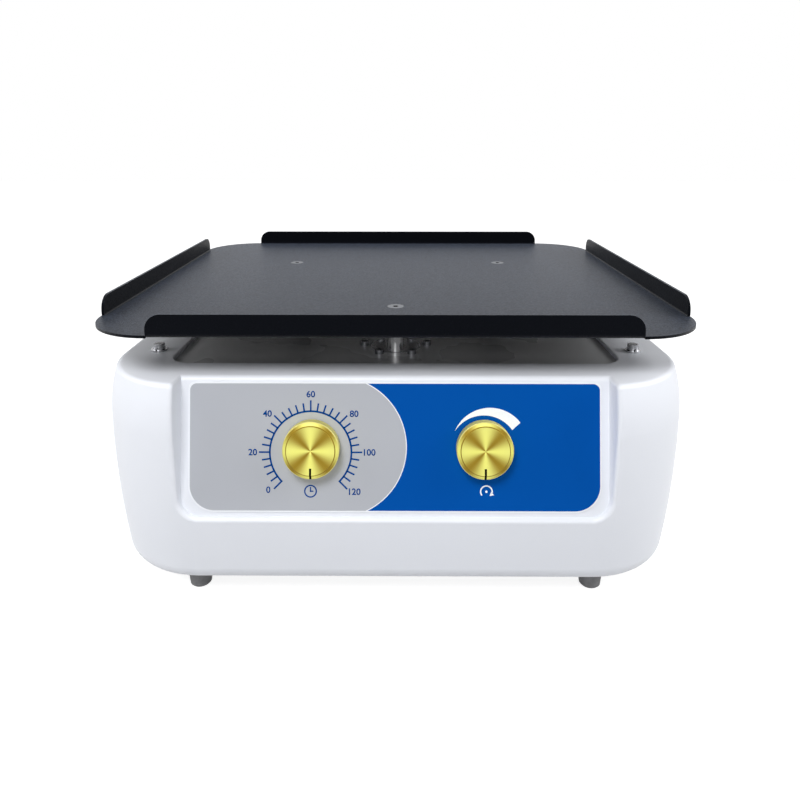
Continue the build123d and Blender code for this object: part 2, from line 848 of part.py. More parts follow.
def make_motor_shaft():
    low = z_motor - motor_length + motor_bearing_wall + clearance
    high = z_pulley_top + pulley_hub_drop + shaft_end
    return round_bar(motor_shaft_radius, low, high, 0, motor_y)


def make_motor_screws():
    length = bracket_thickness + motor_screw_depth
    screw = cap_screw(m3, length, motor_screw_head_radius, motor_screw_head_height, hex_socket)
    screw = Pos(0, 0, z_bracket) * screw
    return [Pos(x, y, 0) * screw for x, y in motor_screw_places()]


# Platform, with what it turns on
pins = [(x, y - crank_throw) for x, y in stations.values()]


def make_rim(length, reach):
    """One folded edge, its foot bent up from the sheet, along X on the front side."""
    outer = bend_radius + platform_sheet
    section = Rectangle(platform_sheet, rim_height - outer, align=(Align.MIN, Align.MIN))
    section = Pos(0, outer) * section
    bend = Pos(outer, outer) * (Circle(outer) - Circle(bend_radius))
    section += bend & Rectangle(outer, outer, align=(Align.MIN, Align.MIN))
    rim = extrude(Plane.YZ * section, length / 2, both=True)
    ends = rim.edges().filter_by(Axis.Y).group_by(Axis.Z)[-1]
    rim = fillet(ends, rim_end_round)
    return Pos(0, -reach, z_platform) * rim


def make_platform():
    outer = bend_radius + platform_sheet
    long_rim = platform_width - 2 * platform_corner
    short_rim = platform_depth - 2 * platform_corner
    top = slab(platform_width, platform_depth, z_platform, z_platform + platform_sheet, platform_corner)
    sides = ((0, long_rim, platform_depth / 2), (90, short_rim, platform_width / 2))
    for turn, length, reach in sides:
        notch = Pos(0, -reach, z_platform) * Box(length, 2 * outer, 3 * platform_sheet)
        rim = make_rim(length, reach)
        for half_turn in (0, 180):
            top = top - Rot(0, 0, turn + half_turn) * notch + Rot(0, 0, turn + half_turn) * rim
    top = Pos(0, -crank_throw, 0) * top
    return top - [Pos(x, y, 0) * countersink(tap_gap) for x, y in pins]


def countersink(gap):
    """Cutter for a platform screw: its cone through the sheet and its thread below."""
    z_face = z_platform + platform_sheet
    head, neck = platform_screw_head + gap, platform_thread / 2 + gap
    low = z_platform - hub_cap - over
    return turned([
        (0, low), (neck, low), (neck, z_face - (head - neck)), (head, z_face), (head, z_face + over),
        (0, z_face + over),
    ])


def make_hubs():
    """Bearing cups screwed up against the platform over the crank pins."""
    low, seat = z_pin_bearing, z_platform - hub_cap
    relief = pin_outer - hub_relief_width
    hub = turned([
        (pin_outer, low), (hub_radius - hub_edge, low), (hub_radius, low + hub_edge),
        (hub_radius, z_platform), (0, z_platform), (0, seat + hub_relief), (relief, seat + hub_relief),
        (relief, seat), (pin_outer, seat),
    ])
    hub -= countersink(tap_gap)
    return [Pos(x, y, 0) * hub for x, y in pins]


def make_pin_bearings():
    race = bearing(pin_bore, pin_outer, pin_width)
    return [Pos(x, y, z_pin_bearing) * race for x, y in pins]


def make_platform_screws():
    length = platform_sheet + hub_cap - clearance
    screw = countersunk_screw(platform_thread, length, platform_screw_head, platform_socket)
    return [Pos(x, y, z_platform + platform_sheet) * screw for x, y in pins]


# Front panel: printed overlay, knobs and what they turn
def on_panel(x, z, piece):
    """Piece on a control's axis, z out of the panel."""
    return panel * Pos(x, -controls_below_top, z) * piece


def make_overlay():
    outline = Rectangle(overlay_width, overlay_height)
    lower = outline.vertices().group_by(Axis.Y)[0]
    outline = fillet(lower, overlay_low_corner)
    upper = outline.vertices().group_by(Axis.Y)[-1]
    outline = fillet(upper, overlay_top_corner)
    overlay = extrude(panel * Pos(0, -overlay_below_top - overlay_height / 2) * outline, overlay_thickness)
    hole = extrude(Circle(control_bush_radius + clearance), overlay_thickness + 2 * over)
    return overlay - [on_panel(x, -over, hole) for x in (timer_x, speed_x)]


def make_knob(x):
    """Turned metal knob with a sunk pointer, hollow below for the nut."""
    top, shoulder, edge = knob_height, knob_height - knob_shoulder, knob_edge
    bore = control_shaft_radius + tap_gap
    blind = top - knob_top_wall
    knob = turned([
        (knob_bore_radius, 0), (knob_radius - edge, 0), (knob_radius, edge), (knob_radius, shoulder),
        (knob_radius - edge, shoulder + edge), (knob_face_radius, top - edge), (knob_face_radius - edge, top),
        (0, top - knob_dish), (0, blind), (bore, blind), (bore, knob_hollow), (knob_bore_radius, knob_hollow),
    ])
    length = knob_radius - pointer_start + over
    groove = slab(pointer_width, length, top - pointer_depth, top + over, 0, 0, -pointer_start - length / 2)
    return on_panel(x, knob_seat, knob - groove)


def make_control_shaft(x):
    low = -side_wall - control_shaft_depth
    high = knob_seat + knob_height - knob_top_wall - clearance
    return on_panel(x, 0, round_bar(control_shaft_radius, low, high))


def make_control_nut(x):
    high = overlay_thickness + nut_thickness
    nut = hexagon_bar(nut_across, overlay_thickness, high)
    return on_panel(x, 0, nut - round_bar(control_bush_radius + tap_gap, 0, high + over))


def add_bush(unit):
    """Threaded bush through the panel, bored for the shaft down to a blind end."""
    high = overlay_thickness + control_bush_reach
    blind = -side_wall - control_shaft_depth - clearance
    unit += round_bar(control_bush_radius, -side_wall - over, high)
    return unit - round_bar(control_shaft_radius + running_fit, blind, high + over)


def terminal(x, y, z):
    """Flat connector blade that points back from z."""
    return slab(terminal_thickness, terminal_width, z - terminal_length, z, 0, x, y)


def make_timer():
    back = -side_wall - timer_depth
    unit = slab(timer_side, timer_side, back, -side_wall, timer_corner)
    unit += round_bar(spring_case_radius, back - spring_case_depth, back)
    terminal_y = (timer_side - terminal_width) / 2
    unit += [terminal(x, terminal_y, back) for x in (-timer_terminal_x, timer_terminal_x)]
    return on_panel(timer_x, 0, add_bush(unit))


def make_pot():
    back = -side_wall - pot_depth
    unit = round_bar(pot_radius, back, -side_wall)
    width, depth, thickness = pot_board
    z_card = (back - side_wall) / 2
    unit += slab(width, depth, z_card, z_card + thickness, 0, 0, -pot_radius)
    pin_width, pin_length, pin_thickness = pot_pin
    pin_y = -pot_radius - (depth + pin_length) / 2
    places = (-pot_pin_pitch, 0, pot_pin_pitch)
    unit += [slab(pin_width, pin_length, z_card, z_card + pin_thickness, 0, x, pin_y) for x in places]
    return on_panel(speed_x, 0, add_bush(unit))


# Rear connectors
def on_rear(x, z, piece):
    """Piece on the rear pocket, z out of the housing."""
    return rear * Pos(-x, 0, z) * piece


def make_inlet():
    """Moulded mains inlet: a flange with two screw holes round a deep socket."""
    body_low = inlet_flange - inlet_depth
    inlet = slab(inlet_flange_width, inlet_flange_height, 0, inlet_flange, inlet_corner)
    inlet += slab(inlet_width, inlet_height, body_low, 0, inlet_wall)
    socket = Rectangle(inlet_width - 2 * inlet_wall, inlet_height - 2 * inlet_wall)
    socket = chamfer(socket.vertices().group_by(Axis.Y)[0], inlet_key)
    inlet -= Pos(0, 0, z_socket) * extrude(socket, inlet_socket_depth + over)
    inlet -= [clear_hole(m3, 0, inlet_flange, side * inlet_screw_pitch / 2, 0) for side in (-1, 1)]
    return on_rear(inlet_x, 0, inlet)


def make_inlet_blades():
    width, height, length = blade_size
    blade = slab(width, height, z_socket, z_socket + length)
    return [on_rear(inlet_x, 0, Pos(x, y, 0) * blade) for x, y in blade_places]


def make_inlet_screws():
    screw = cheese_screw(m3, inlet_screw_length, screw_head_radius, screw_head_height)
    screw = Pos(0, 0, inlet_flange) * screw
    return [on_rear(inlet_x + side * inlet_screw_pitch / 2, 0, screw) for side in (-1, 1)]


def make_fuse_holder():
    bore = fuse_plug_radius + fuse_gap
    holder = round_ring(fuse_flange_radius, bore, 0, fuse_flange)
    holder += round_ring(fuse_radius, bore, fuse_end - fuse_length, 0)
    holder += round_bar(fuse_radius, -fuse_length, fuse_end - fuse_length)
    return on_rear(fuse_x, 0, holder)


def make_fuse_cap():
    low = fuse_flange + fuse_gap
    cap = round_bar(fuse_cap_radius, low, fuse_cap_height)
    cap += round_bar(fuse_plug_radius, -fuse_plug_length, low)
    cap -= slab(fuse_cap_radius, fuse_slot, fuse_cap_height - fuse_slot, fuse_cap_height + over)
    return on_rear(fuse_x, 0, cap)


def make_switch_frame():
    frame = slab(switch_width, switch_height, 0, switch_flange, switch_corner)
    frame += slab(switch_body_width, switch_body_height, -switch_depth, 0)
    well_height = 2 * (rocker_reach + rear_gap)
    frame -= slab(rocker_width + 2 * clearance, well_height, -rocker_well, switch_flange + over)
    frame -= rocker_pins(running_fit)
    frame += [terminal(0, y, -switch_depth) for y in (-switch_terminal_y, switch_terminal_y)]
    return on_rear(switch_x, 0, frame)


def rocker_pins(gap):
    """Bar through the rocker's pivot, with its ends in the frame."""
    half = rocker_width / 2 + rocker_pin_length + gap
    return Pos(0, 0, rocker_pivot) * extrude(Plane.YZ * Circle(rocker_pin_radius + gap), half, both=True)


def make_rocker():
    """Rocker at rest with its lower end pressed, about its two pivot pins."""
    end = rocker_reach - rocker_end_gap
    belly, z_belly = rocker_belly
    outline = Polyline(
        (-end, rocker_low), (-end, rocker_crest), (0, rocker_middle), (end, rocker_crest), (end, rocker_low),
        (belly, z_belly), (-belly, z_belly), close=True,
    )
    rocker = extrude(Plane.YZ * make_face(outline), rocker_width / 2, both=True)
    rocker = Pos(0, 0, rocker_pivot) * Rot(rocker_tilt, 0, 0) * Pos(0, 0, -rocker_pivot) * rocker
    return on_rear(switch_x, 0, rocker + rocker_pins(0))


# Electrics on the base plate
def transformer_screw_places():
    return [(transformer_x + x * strap_screw_pitch / 2, transformer_y) for x in (-1, 1)]


def board_screw_places():
    reach_x, reach_y = board_width / 2 - board_screw_inset, board_depth / 2 - board_screw_inset
    return [(board_x + x * reach_x, board_y + y * reach_y) for x, y in corners]


def make_transformer():
    """Laminated core on a strap with two feet, and the winding round its middle limb."""
    z_core = z_floor + strap_thickness
    z_core_top = z_core + core_height
    core = slab(core_width, core_depth, z_core, z_core_top)
    window = slab(window_width, core_depth + over, z_core + core_limb, z_core_top - core_limb)
    window_x = (core_width - window_width) / 2 - core_limb + over
    core -= [Pos(x * window_x, 0, 0) * window for x in (-1, 1)]
    core += slab(strap_width, strap_depth, z_floor, z_core)
    holes = [clear_hole(m3, z_floor, z_core, x * strap_screw_pitch / 2, 0) for x in (-1, 1)]
    rim = core_limb + coil_gap
    coil = slab(coil_width, coil_depth, z_core + rim, z_core_top - rim, coil_corner)
    middle_width = 2 * window_x - window_width + 2 * coil_gap
    coil -= slab(middle_width, core_depth + 2 * coil_gap, z_floor, z_core_top)
    place = Pos(transformer_x, transformer_y, 0)
    return place * (core - holes), place * coil


def make_transformer_screws():
    length = base_thickness + strap_thickness
    screw = cheese_screw(m3, length, screw_head_radius, screw_head_height)
    screw = Pos(0, 0, z_floor + strap_thickness) * screw
    return [Pos(x, y, 0) * screw for x, y in transformer_screw_places()]


def make_board():
    """Populated motor control board on four spacers."""
    z_board = z_floor + board_lift
    top = z_board + board_thickness
    board = slab(board_width, board_depth, z_board, top, board_corner, board_x, board_y)
    board -= [clear_hole(m3, z_board, top, x, y) for x, y in board_screw_places()]
    for x, y in capacitor_places:
        board += round_bar(capacitor_radius, top, top + capacitor_height, board_x + x, board_y + y)
    for (width, depth, height), (x, y) in (
        (terminal_block, terminal_block_place),
        (controller_chip, controller_chip_place),
    ):
        board += slab(width, depth, top, top + height, 0, board_x + x, board_y + y)
    spacer = round_ring(board_spacer_radius, m3 / 2 + clear_gap, z_floor, z_board)
    length = board_thickness + board_lift + base_thickness
    screw = Pos(0, 0, top) * cheese_screw(m3, length, screw_head_radius, screw_head_height)
    spacers = [Pos(x, y, 0) * spacer for x, y in board_screw_places()]
    screws = [Pos(x, y, 0) * screw for x, y in board_screw_places()]
    return board, spacers, screws


def make_heat_sink():
    """Finned block beside the power transistors."""
    low = z_floor + board_lift + board_thickness
    high = low + sink_height
    slot_depth = sink_width - sink_plate + over
    slot = slab(slot_depth, sink_slot_width, low + sink_floor, high + over)
    slot_x = (sink_plate + over) / 2
    steps = [index - (sink_slots - 1) / 2 for index in range(sink_slots)]
    sink = slab(sink_width, sink_length, low, high)
    sink -= [Pos(slot_x, step * sink_slot_pitch, 0) * slot for step in steps]
    return Pos(board_x + sink_x, board_y, 0) * sink


save("housing_shell", make_housing())
save("deck_plate", make_deck())
save("base_plate", make_base())
save("corner_posts", *make_posts())
washers, spring_washers, corner_screws = make_corner_fixings()
save("corner_washers", *washers)
save("corner_spring_washers", *spring_washers)
save("corner_screws", *corner_screws)
save("base_screws", *make_base_screws())
feet, foot_screws = make_feet()
save("feet", *feet)
save("foot_screws", *foot_screws)

save("bearing_housings", *make_cartridges())
save("main_bearings", *make_main_bearings())
save("bearing_spacers", *make_spacers())
save("bearing_housing_screws", *make_cartridge_screws())
for side, (x, y) in stations.items():
    save(f"{side}_crank", make_crank(x, y))
    driven = side == "front"
    z_above = z_pulley_low - pulley_hub_drop if driven else z_cartridge_low
    z_weight = z_above - part_gap
    save(f"{side}_weight", make_weight(x, y, z_weight))
    grubs = [set_screw(x, y, z_weight - weight_thickness / 2, main_bore, pulley_hub_radius)]
    if driven:
        grubs.append(set_screw(x, y, z_pulley_low - pulley_hub_drop / 2, main_bore, pulley_hub_radius))
    save(f"{side}_grub_screws" if driven else f"{side}_grub_screw", *grubs)

save("crank_pulley", make_crank_pulley())
save("motor_pulley", make_motor_pulley())
save("drive_belt", make_belt())
save("motor_bracket", make_bracket())
save("bracket_posts", *make_bracket_posts())
save("bracket_screws", *make_bracket_screws())
save("motor", make_motor())
save("motor_shaft", make_motor_shaft())
save("motor_screws", *make_motor_screws())

save("platform", make_platform())
save("platform_hubs", *make_hubs())
save("pin_bearings", *make_pin_bearings())
save("platform_screws", *make_platform_screws())

save("control_overlay", make_overlay())
save("timer_unit", make_timer())
save("speed_potentiometer", make_pot())
for control, x in (("timer", timer_x), ("speed", speed_x)):
    save(f"{control}_knob", make_knob(x))
    save(f"{control}_shaft", make_control_shaft(x))
    save(f"{control}_nut", make_control_nut(x))

save("mains_inlet", make_inlet())
save("inlet_blades", *make_inlet_blades())
save("inlet_screws", *make_inlet_screws())
save("fuse_holder", make_fuse_holder())
save("fuse_cap", make_fuse_cap())
save("switch_frame", make_switch_frame())
save("switch_rocker", make_rocker())

core, coil = make_transformer()
save("transformer_core", core)
save("transformer_coil", coil)
save("transformer_screws", *make_transformer_screws())
board, board_spacers, board_screws = make_board()
save("control_board", board)
save("board_spacers", *board_spacers)
save("board_screws", *board_screws)
save("heat_sink", make_heat_sink())
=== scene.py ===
"""Orbital laboratory shaker: finishes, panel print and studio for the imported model.

Metres, +Z up, the front towards -Y. Every print piece is made on the tilted control panel: u runs
to the right, v up the panel and w out of it, from the point where a control's axis meets the panel.
"""

import json
import math

import bpy
from bpy.props import FloatProperty, FloatVectorProperty, PointerProperty
from mathutils import Matrix, Vector


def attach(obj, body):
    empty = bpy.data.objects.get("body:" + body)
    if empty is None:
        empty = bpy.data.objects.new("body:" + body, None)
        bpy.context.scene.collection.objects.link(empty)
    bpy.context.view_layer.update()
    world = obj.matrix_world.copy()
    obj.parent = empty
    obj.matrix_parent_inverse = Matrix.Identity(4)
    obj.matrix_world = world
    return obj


bl_info = {
    "name": "Orbital laboratory shaker",
    "version": (1, 0, 0),
    "blender": (4, 5, 0),
    "location": "View3D > Sidebar > Shaker",
    "description": "Dresses the shaker model with its finishes, its panel print and a plain studio",
    "category": "Object",
}

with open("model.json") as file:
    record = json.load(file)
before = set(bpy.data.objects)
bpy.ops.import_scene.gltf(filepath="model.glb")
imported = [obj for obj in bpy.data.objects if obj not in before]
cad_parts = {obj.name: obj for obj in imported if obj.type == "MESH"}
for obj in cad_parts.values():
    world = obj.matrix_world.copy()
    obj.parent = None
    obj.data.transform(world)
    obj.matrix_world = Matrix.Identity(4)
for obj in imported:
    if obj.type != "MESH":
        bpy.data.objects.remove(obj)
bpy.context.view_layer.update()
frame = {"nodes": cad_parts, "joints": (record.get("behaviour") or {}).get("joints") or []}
NODES = frame["nodes"]
JOINTS = {joint["name"]: joint for joint in frame["joints"]}

MM = 0.001
WELD = 0.0001 * MM
PANEL_OUT = -Vector(JOINTS["timer_turn"]["axis"]).normalized()
PANEL_RIGHT = Vector((1, 0, 0))
PANEL_UP = PANEL_OUT.cross(PANEL_RIGHT)
TIMER_AXIS = Vector(JOINTS["timer_turn"]["pos_m"])
SPEED_AXIS = Vector(JOINTS["speed_turn"]["pos_m"])


# Settings
def length(name, description, millimetres):
    """Size property, given in millimetres and kept in metres."""
    return FloatProperty(
        name=name, description=description, default=millimetres * MM, unit="LENGTH", precision=5,
    )


def watts(name, description, power):
    """Power property of a lamp."""
    return FloatProperty(name=name, description=description, default=power, min=0, unit="POWER")


def linear_light(part):
    """Linear light of a display value from 0 to 255."""
    if part > 10:
        return ((part / 255 + 0.055) / 1.055) ** 2.4
    return part / 255 / 12.92


def colour(name, description, *display):
    """Colour property, given as red, green and blue on the display and kept as linear light."""
    return FloatVectorProperty(
        name=name, description=description, default=[linear_light(part) for part in display],
        subtype="COLOR", min=0, max=1,
    )


class ShakerColours(bpy.types.PropertyGroup):
    """Colours of the finishes."""

    housing: colour("Housing", "Moulded white of the housing", 228, 231, 238)
    deck: colour("Deck", "Grey lacquer of the deck plate", 198, 199, 202)
    platform: colour("Platform", "Black powder coat of the platform", 8, 9, 12)
    film_edge: colour("Film edge", "Pale border round the printed film", 236, 239, 244)
    film_grey: colour("Film grey", "Grey field behind the timer", 178, 181, 188)
    film_blue: colour("Film blue", "Blue field behind the speed control", 1, 79, 164)
    dial_ink: colour("Dial ink", "Navy ink of the timer dial", 2, 66, 136)
    mark_ink: colour("Mark ink", "White ink of the speed mark", 244, 248, 254)
    # Painted reflections: the knob face's bright and dark rays stand in for how its spun metal reflects the
    # lamps
    gold_painted_bright: colour("Gold, light", "Bright rays of the turned knob face", 210, 208, 111)
    gold_painted_dark: colour("Gold, dark", "Dark rays of the turned knob face", 135, 111, 29)
    gold_side: colour("Gold, side", "Side of the knobs", 214, 206, 128)
    rubber: colour("Rubber", "Moulded rubber of the belt", 24, 24, 25)
    foot: colour("Feet", "Moulded rubber of the feet", 138, 138, 140)
    zinc: colour("Zinc", "Bright zinc plating of screws and washers", 186, 187, 190)
    steel: colour("Steel", "Ground steel of shafts and bearings", 214, 214, 216)
    screw_heads: colour("Screw heads", "Grey plating of the platform's screws", 104, 107, 114)
    dark_steel: colour("Dark steel", "Oiled dark steel of screws", 128, 129, 134)
    aluminium: colour("Aluminium", "Turned and cast aluminium", 190, 192, 196)
    black_plastic: colour("Black plastic", "Moulded black plastic", 26, 26, 28)
    base_paint: colour("Base paint", "Grey paint of the base plate and motor", 150, 153, 158)
    copper: colour("Copper", "Enamelled copper winding", 170, 92, 48)
    board: colour("Board", "Green lacquer of the control board", 24, 86, 48)


class ShakerKnobs(bpy.types.PropertyGroup):
    """Sizes of the turned face of the knobs and of its pointer line."""

    ring_radius: length("Ring radius", "Fine ring turned near the edge of the face", 12.6)
    ring_core: length("Ring core", "From the ring's middle to where its shade starts to fade", 0.12)
    ring_fade: length("Ring fade", "From the ring's middle to where its shade has gone", 0.34)
    rays_fade: length("Rays fade", "From the face down to where its rays start to fade", 1.0)
    rays_end: length("Rays end", "From the face down to where its rays have gone", 1.5)
    gloss_edge: length("Gloss edge", "From the face down to where the duller side starts", 0.2)
    line_width: length("Line width", "Width of the black pointer line", 1.16)
    line_start: length("Line start", "From the knob's axis down to where the line starts", 8.7)
    line_depth: length("Line depth", "How far the line runs down the knob's side", 1.6)
    groove_pitch: length("Groove pitch", "Distance between the turned grooves", 0.35)
    groove_depth: length("Groove depth", "Depth of the turned grooves", 0.004)


class ShakerPrint(bpy.types.PropertyGroup):
    """Sizes of the film and of the print on it."""

    drop: length("Drop", "How far the print's middle lies above the control axis", -2.8)
    ink: length("Ink", "Thickness of the ink", 0.05)
    film: length("Film", "Thickness of the film under the ink", 0.4)
    upper_corner: length("Upper corner", "Rounding of the border's two upper corners", 4.3)
    lower_corner: length("Lower corner", "Rounding of the border's two lower corners", 14.0)
    border_width: length("Border width", "Width of the film's pale border", 0.8)
    field_left: length("Field left", "From the panel's middle to the middle of the grey field's arc", 30.5)
    field_drop: length("Field drop", "From the control axis down to the middle of that arc", 0.1)
    field_radius: length("Field radius", "Radius of the arc between the two fields", 36.6)
    split_width: length("Split width", "Width of the pale line along that arc", 0.5)
    dial_radius: length("Dial radius", "Middle of the dial's ring", 21.3)
    ring_width: length("Ring width", "Width of the dial's ring", 0.95)
    tick_width: length("Tick width", "Width of each division line", 0.85)
    long_tick: length("Long tick", "Length of a numbered division", 5.2)
    short_tick: length("Short tick", "Length of a plain division", 3.9)
    number_height: length("Number height", "Size of the dial numbers", 4.65)
    number_gap: length("Number gap", "From the long divisions to the middle of a number", 3.3)
    number_lean: FloatProperty(
        name="Number lean", description="How far the slanting numbers turn towards the sides",
        default=math.radians(3.5), unit="ROTATION",
    )
    number_weight: length("Number weight", "How much bolder the numbers are than the plain letters", 0.09)
    symbol_radius: length("Symbol radius", "Size of the two symbols below the knobs", 3.0)
    symbol_drop: length("Symbol drop", "From the print's middle down to the symbols", 20.2)
    dial_shift: length("Dial shift", "How far the dial lies to the right of the timer's axis", -0.8)
    mark_shift: length("Mark shift", "How far the speed mark lies to the right of the knob's axis", 1.25)
    mark_drop: length("Mark drop", "How far the speed mark lies below the print's middle", 0.45)


class ShakerStudio(bpy.types.PropertyGroup):
    """Camera, lamps and floor."""

    place: FloatVectorProperty(
        name="Camera place", description="Where the camera stands", default=(0.0036, -0.4902, 0.2509),
        subtype="TRANSLATION", unit="LENGTH", precision=4,
    )
    pitch: FloatProperty(
        name="Camera pitch", description="How far the camera looks down",
        default=math.radians(8.384), unit="ROTATION",
    )
    turn: FloatProperty(
        name="Camera turn", description="How far the camera looks to the left",
        default=0.006, unit="ROTATION",
    )
    focal: FloatProperty(
        name="Focal length", description="Of a 36 mm wide sensor", default=30.8, min=10, max=200,
    )
    shift_x: FloatProperty(name="Shift across", description="Of the camera's frame", default=0.0029)
    shift_y: FloatProperty(name="Shift up", description="Of the camera's frame", default=-0.2088)
    sky: FloatProperty(name="Sky", description="Light that comes from all round", default=0.17, min=0)
    front_lamp: watts("Front lamp", "Power of the high lamp in front", 17.4)
    low_lamp: watts("Low lamp", "Power of the small lamp that shines in under the platform", 2.7)
    left_lamp: watts("Left lamp", "Power of the left lamp", 6.2)
    right_lamp: watts("Right lamp", "Power of the right lamp", 11.8)
    floor_glow: FloatProperty(
        name="Floor glow", description="How much whiter the camera sees the floor near the object",
        default=0.86, min=0,
    )
    floor_side: length("Floor", "Side of the floor", 6000.0)


# Node helpers
def put(tree, value, socket):
    """Give a socket a number, a colour or a link."""
    if isinstance(value, bpy.types.NodeSocket):
        tree.links.new(value, socket)
    elif hasattr(socket.default_value, "__len__") and len(socket.default_value) == 4 and len(value) == 3:
        socket.default_value = (*value, 1.0)
    else:
        socket.default_value = value


def maths(tree, operation, *values):
    """Math node, as its output."""
    made = tree.nodes.new("ShaderNodeMath")
    made.operation = operation
    for value, socket in zip(values, made.inputs):
        put(tree, value, socket)
    return made.outputs[0]


def vector_maths(tree, operation, *values):
    """Vector Math node, as its vector or, for a dot product or a length, its value."""
    made = tree.nodes.new("ShaderNodeVectorMath")
    made.operation = operation
    for value, socket in zip(values, made.inputs):
        put(tree, value, socket)
    return made.outputs["Value" if operation in {"DOT_PRODUCT", "LENGTH"} else "Vector"]


def between(tree, value, low, high, start=0.0, end=1.0):
    """Smooth ramp of a value from one range to another."""
    made = tree.nodes.new("ShaderNodeMapRange")
    made.interpolation_type = "SMOOTHSTEP"
    names = ("Value", "From Min", "From Max", "To Min", "To Max")
    for name, given in zip(names, (value, low, high, start, end)):
        put(tree, given, made.inputs[name])
    return made.outputs[0]


def diagonal(tree, across, along):
    """Distance that two sides at a right angle span."""
    squares = [maths(tree, "MULTIPLY", side, side) for side in (across, along)]
    return maths(tree, "SQRT", maths(tree, "ADD", *squares))


def apart(tree, first, second):
    """How far two values lie from each other."""
    return maths(tree, "ABSOLUTE", maths(tree, "SUBTRACT", first, second))


def mixed(tree, factor, first, second):
    """Mix of two colours."""
    made = tree.nodes.new("ShaderNodeMix")
    made.data_type = "RGBA"
    put(tree, factor, made.inputs[0])
    put(tree, first, made.inputs[6])
    put(tree, second, made.inputs[7])
    return made.outputs[2]


def object_place(tree):
    """Place of the shaded point on the object."""
    return tree.nodes.new("ShaderNodeTexCoord").outputs["Object"]


def from_point(tree, point, *directions):
    """How far the shaded point lies from a point along each of these directions."""
    place = vector_maths(tree, "SUBTRACT", object_place(tree), point)
    return [vector_maths(tree, "DOT_PRODUCT", place, direction) for direction in directions]


def mottled(tree, size, detail=3.0, stretch=None):
    """Noise over the piece, with spots of about the given size in metres."""
    place = object_place(tree)
    if stretch:
        place = vector_maths(tree, "MULTIPLY", place, stretch)
    made = tree.nodes.new("ShaderNodeTexNoise")
    put(tree, place, made.inputs["Vector"])
    made.inputs["Scale"].default_value = 1 / size
    made.inputs["Detail"].default_value = detail
    return made.outputs[0]


def varied(tree, cloud, start=0.0, end=1.0):
    """Noise, which seldom leaves its middle, spread over a range."""
    return between(tree, cloud, 0.3, 0.7, start, end)


def new_material(name):
    """New node material, with its tree and its shader."""
    made = bpy.data.materials.new(name)
    made.use_nodes = True
    shader = made.node_tree.nodes["Principled BSDF"]
    return made, made.node_tree, shader


def bumped(tree, shader, height, depth, strength=1.0):
    """Fine relief on a shader."""
    made = tree.nodes.new("ShaderNodeBump")
    made.inputs["Strength"].default_value = strength
    made.inputs["Distance"].default_value = depth
    put(tree, height, made.inputs["Height"])
    put(tree, made.outputs["Normal"], shader.inputs["Normal"])


def finish(
    name, base, rough, metal=0.0, spread=0.04, grain=0.004, relief=0.0, relief_size=0.0004, crevice_shade=0.0,
    **shine,
):
    """Finish with a little unevenness in colour and gloss, a fine relief and painted shade in its crevices.

    Grain and relief size are the sizes of their spots, relief is a depth and crevice shade the width of the
    crevices that the painted shade darkens.
    """
    gloss_spread, shade_share = 0.08, 0.06
    crevice_shut, crevice_open = 0.25, 0.85
    made, tree, shader = new_material(name)
    cloud = mottled(tree, grain)
    darker = [part * (1 - spread) for part in base]
    lighter = [min(1.0, part * (1 + spread)) for part in base]
    shown = mixed(tree, varied(tree, cloud), darker, lighter)
    # Painted shade: an ambient occlusion node darkens the colour in crevices, where shade falls
    if crevice_shade:
        crevice = tree.nodes.new("ShaderNodeAmbientOcclusion")
        crevice.only_local = True
        crevice.samples = 4
        crevice.inputs["Distance"].default_value = crevice_shade
        unshaded = between(tree, crevice.outputs["AO"], crevice_shut, crevice_open)
        shown = mixed(tree, unshaded, [part * shade_share for part in base], shown)
    put(tree, shown, shader.inputs["Base Color"])
    gloss = varied(tree, cloud, rough * (1 - gloss_spread), rough * (1 + gloss_spread))
    put(tree, gloss, shader.inputs["Roughness"])
    shader.inputs["Metallic"].default_value = metal
    for socket, value in shine.items():
        shader.inputs[socket.replace("_", " ")].default_value = value
    if relief:
        bumped(tree, shader, mottled(tree, relief_size, 2.0), relief)
    return made


def print_ink(name, base, spread):
    """Dull printing ink."""
    return finish(name, base, 0.5, spread=spread, grain=0.001, Specular_IOR_Level=0.05)


def layered(name, base, shade, size, stretch, metal, rough, relief=0.0):
    """Fine layers of a colour and a darker shade of it, which the stretch draws out along a piece."""
    made, tree, shader = new_material(name)
    layers = mottled(tree, size, 1.0, stretch)
    darker = [part * shade for part in base]
    put(tree, mixed(tree, between(tree, layers, 0.4, 0.6), darker, base), shader.inputs["Base Color"])
    shader.inputs["Metallic"].default_value = metal
    shader.inputs["Roughness"].default_value = rough
    if relief:
        bumped(tree, shader, layers, relief)
    return made


def wear(material, *names):
    """Put one material on CAD nodes."""
    for name in names:
        node = NODES[name]
        node.data.materials.clear()
        node.data.materials.append(material)


# Print helpers
def panel_place(axis, v, u, w):
    """Matrix of the panel at a point above, to the right and in front of a control's axis."""
    here = axis + PANEL_RIGHT * u + PANEL_UP * v + PANEL_OUT * w
    turn = Matrix((PANEL_RIGHT, PANEL_UP, PANEL_OUT)).transposed().to_4x4()
    return Matrix.Translation(here) @ turn


def start_clean():
    """Leave edit mode with nothing selected."""
    if bpy.context.mode != "OBJECT":
        bpy.ops.object.mode_set(mode="OBJECT")
    bpy.ops.object.select_all(action="DESELECT")


def select_only(*pieces):
    """Select these pieces alone, the first one active."""
    start_clean()
    for piece in pieces:
        piece.select_set(True)
    bpy.context.view_layer.objects.active = pieces[0]


